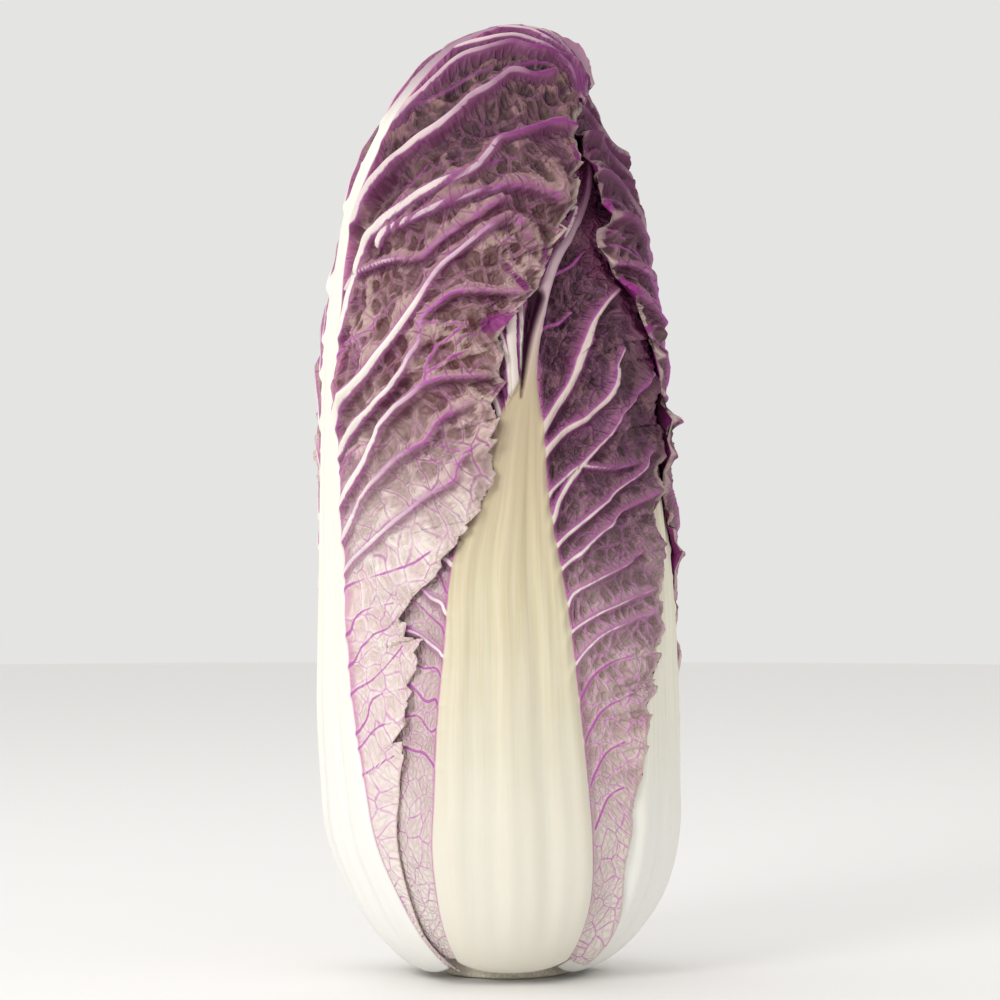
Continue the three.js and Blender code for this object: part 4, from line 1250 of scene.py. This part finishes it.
    # Painted shade: the deep slit beside the front rib is coloured near-black purple, as the shadow
    # inside it.
    color = p.blend(1 - p.step(p.attribute("slit"), -1.2, 0.5), color, tone(64, 10, 46))
    rough = (speckle * 0.3 - p.step(fine_net, 0.0, 0.8) * 0.5) * p.step(rib_gap, 0.0, 2.0)
    bump = rough * p.step(vein_gap, 0.0, 1.2) * p.step(fine_gap, -0.1, 0.6)
    bump = bump + streak * 0.1
    roughness = 0.46 + speckle * 0.12
    return p.finish(color, roughness, bump, 0.0007, {
        "Subsurface Weight": 0.1, "Subsurface Radius": (0.004, 0.002, 0.0015),
        "Subsurface Scale": 1.0, "Specular IOR Level": 0.45})


def inside_paint():
    p = Paint("leaf_inside")
    where = p.attribute("place", "Vector")
    cloud = p.noise(where, 0.08, 4.0)
    color = p.blend(p.step(cloud, 0.3, 0.7), tone(112, 26, 92), tone(158, 52, 138))
    color = p.blend(p.step(p.attribute("height"), 150, 60), color, tone(226, 206, 212))
    return p.finish(color, 0.5, cloud, 0.0004)


outside, inside = leaf_paint(), inside_paint()
for piece in leaf_pieces.values():
    piece.data.materials.append(outside)
    piece.data.materials.append(inside)
print("leaf materials on", len(leaf_pieces), "leaves")


# %% [markdown]
# The heart's leaves are cream ribs low down and purple where they are thin higher up. The
# cut face of the stem is dry and pale, with slightly browned strands in it. Both show
# little, so a plain noise and a net in space are enough for them.

# %% Heart and stem colours
def heart_paint():
    p = Paint("heart_leaves")
    where = p.attribute("place", "Vector")
    cloud = p.noise(where, 0.06, 4.0)
    net = p.net(where, 7.0, "3D")
    color = p.blend(p.step(cloud, 0.35, 0.65), tone(96, 26, 76), tone(140, 78, 112))
    color = p.blend((1 - p.step(net, 0.2, 0.8)) * 0.6, color, tone(172, 112, 150))
    low = p.step(p.attribute("height"), 185, 90)
    color = p.blend(low, color, tone(238, 234, 218))
    return p.finish(color, 0.5, net * (1 - low), 0.0004)


def stem_paint():
    p = Paint("cut_stem")
    where = p.attribute("place", "Vector")
    grain = p.noise(where, 0.5, 5.0, 0.7)
    dots = p.net(where, 2.4, "3D")
    color = p.blend(p.step(grain, 0.35, 0.7), tone(240, 234, 216), tone(248, 245, 234))
    color = p.blend((1 - p.step(dots, 0.1, 0.5)) * 0.5, color, tone(222, 206, 174))
    return p.finish(color, 0.7, dots, 0.0003)


heart.data.materials.append(heart_paint())
stem.data.materials.append(stem_paint())
print("heart and stem painted")


# %% [markdown]
# The head stands on a plain pale floor under large soft lights. The strongest light comes
# from the front left, so the right side falls gently into shade. A bright world alone
# would be even softer, but it would flatten the folds.

# %% Floor, light and camera
FLOOR_SIDES = 96
FLOOR_RADIUS = 2.5
FLOOR_DROP = 0.0004
floor_mesh = bpy.data.meshes.new("floor")
turns = np.arange(FLOOR_SIDES) * 2 * math.pi / FLOOR_SIDES
sides = [FLOOR_RADIUS * np.cos(turns), FLOOR_RADIUS * np.sin(turns)]
ring = np.stack([*sides, np.full(FLOOR_SIDES, -FLOOR_DROP)], axis=-1)
floor_mesh.from_pydata(ring.tolist(), [], [list(range(FLOOR_SIDES))])
floor = bpy.data.objects.new("floor", floor_mesh)
bpy.context.collection.objects.link(floor)
floor_paint = Paint("pale_floor")
grit = floor_paint.noise(floor_paint.node("ShaderNodeTexCoord", None, "Object"), 60.0)
floor_mesh.materials.append(floor_paint.finish(tone(244, 243, 241), 0.8, grit, 0.0001))

sky = bpy.data.worlds.new("studio")
sky.use_nodes = True
sky.node_tree.nodes["Background"].inputs["Color"].default_value = (1.0, 0.995, 0.985, 1.0)
sky.node_tree.nodes["Background"].inputs["Strength"].default_value = 0.78
bpy.context.scene.world = sky
bpy.context.scene.view_settings.view_transform = "Standard"


def soft_light(name, place, aim, size, power):
    lamp = bpy.data.lights.new(name, "AREA")
    lamp.shape = "RECTANGLE"
    lamp.size, lamp.size_y = size
    lamp.energy = power
    holder = bpy.data.objects.new(name, lamp)
    holder.location = place
    holder.rotation_euler = (Vector(aim) - Vector(place)).to_track_quat("-Z", "Y").to_euler()
    bpy.context.collection.objects.link(holder)
    return holder


soft_light("key_light", (-0.8, -1.2, 0.65), (0, 0, 0.16), (0.5, 0.6), 8.6)
soft_light("top_light", (-0.3, 0.2, 1.5), (0, 0, 0.2), (0.9, 0.9), 4)

camera = bpy.data.cameras.new("camera")
camera.lens = 135
camera.sensor_width = 36
camera.dof.use_dof = False
viewer = bpy.data.objects.new("camera", camera)
viewer.location = Vector(VIEW_POINT) * MM
viewer.rotation_euler = (math.pi / 2, 0, 0)
bpy.context.collection.objects.link(viewer)
bpy.context.scene.camera = viewer
print("camera at", tuple(viewer.location))
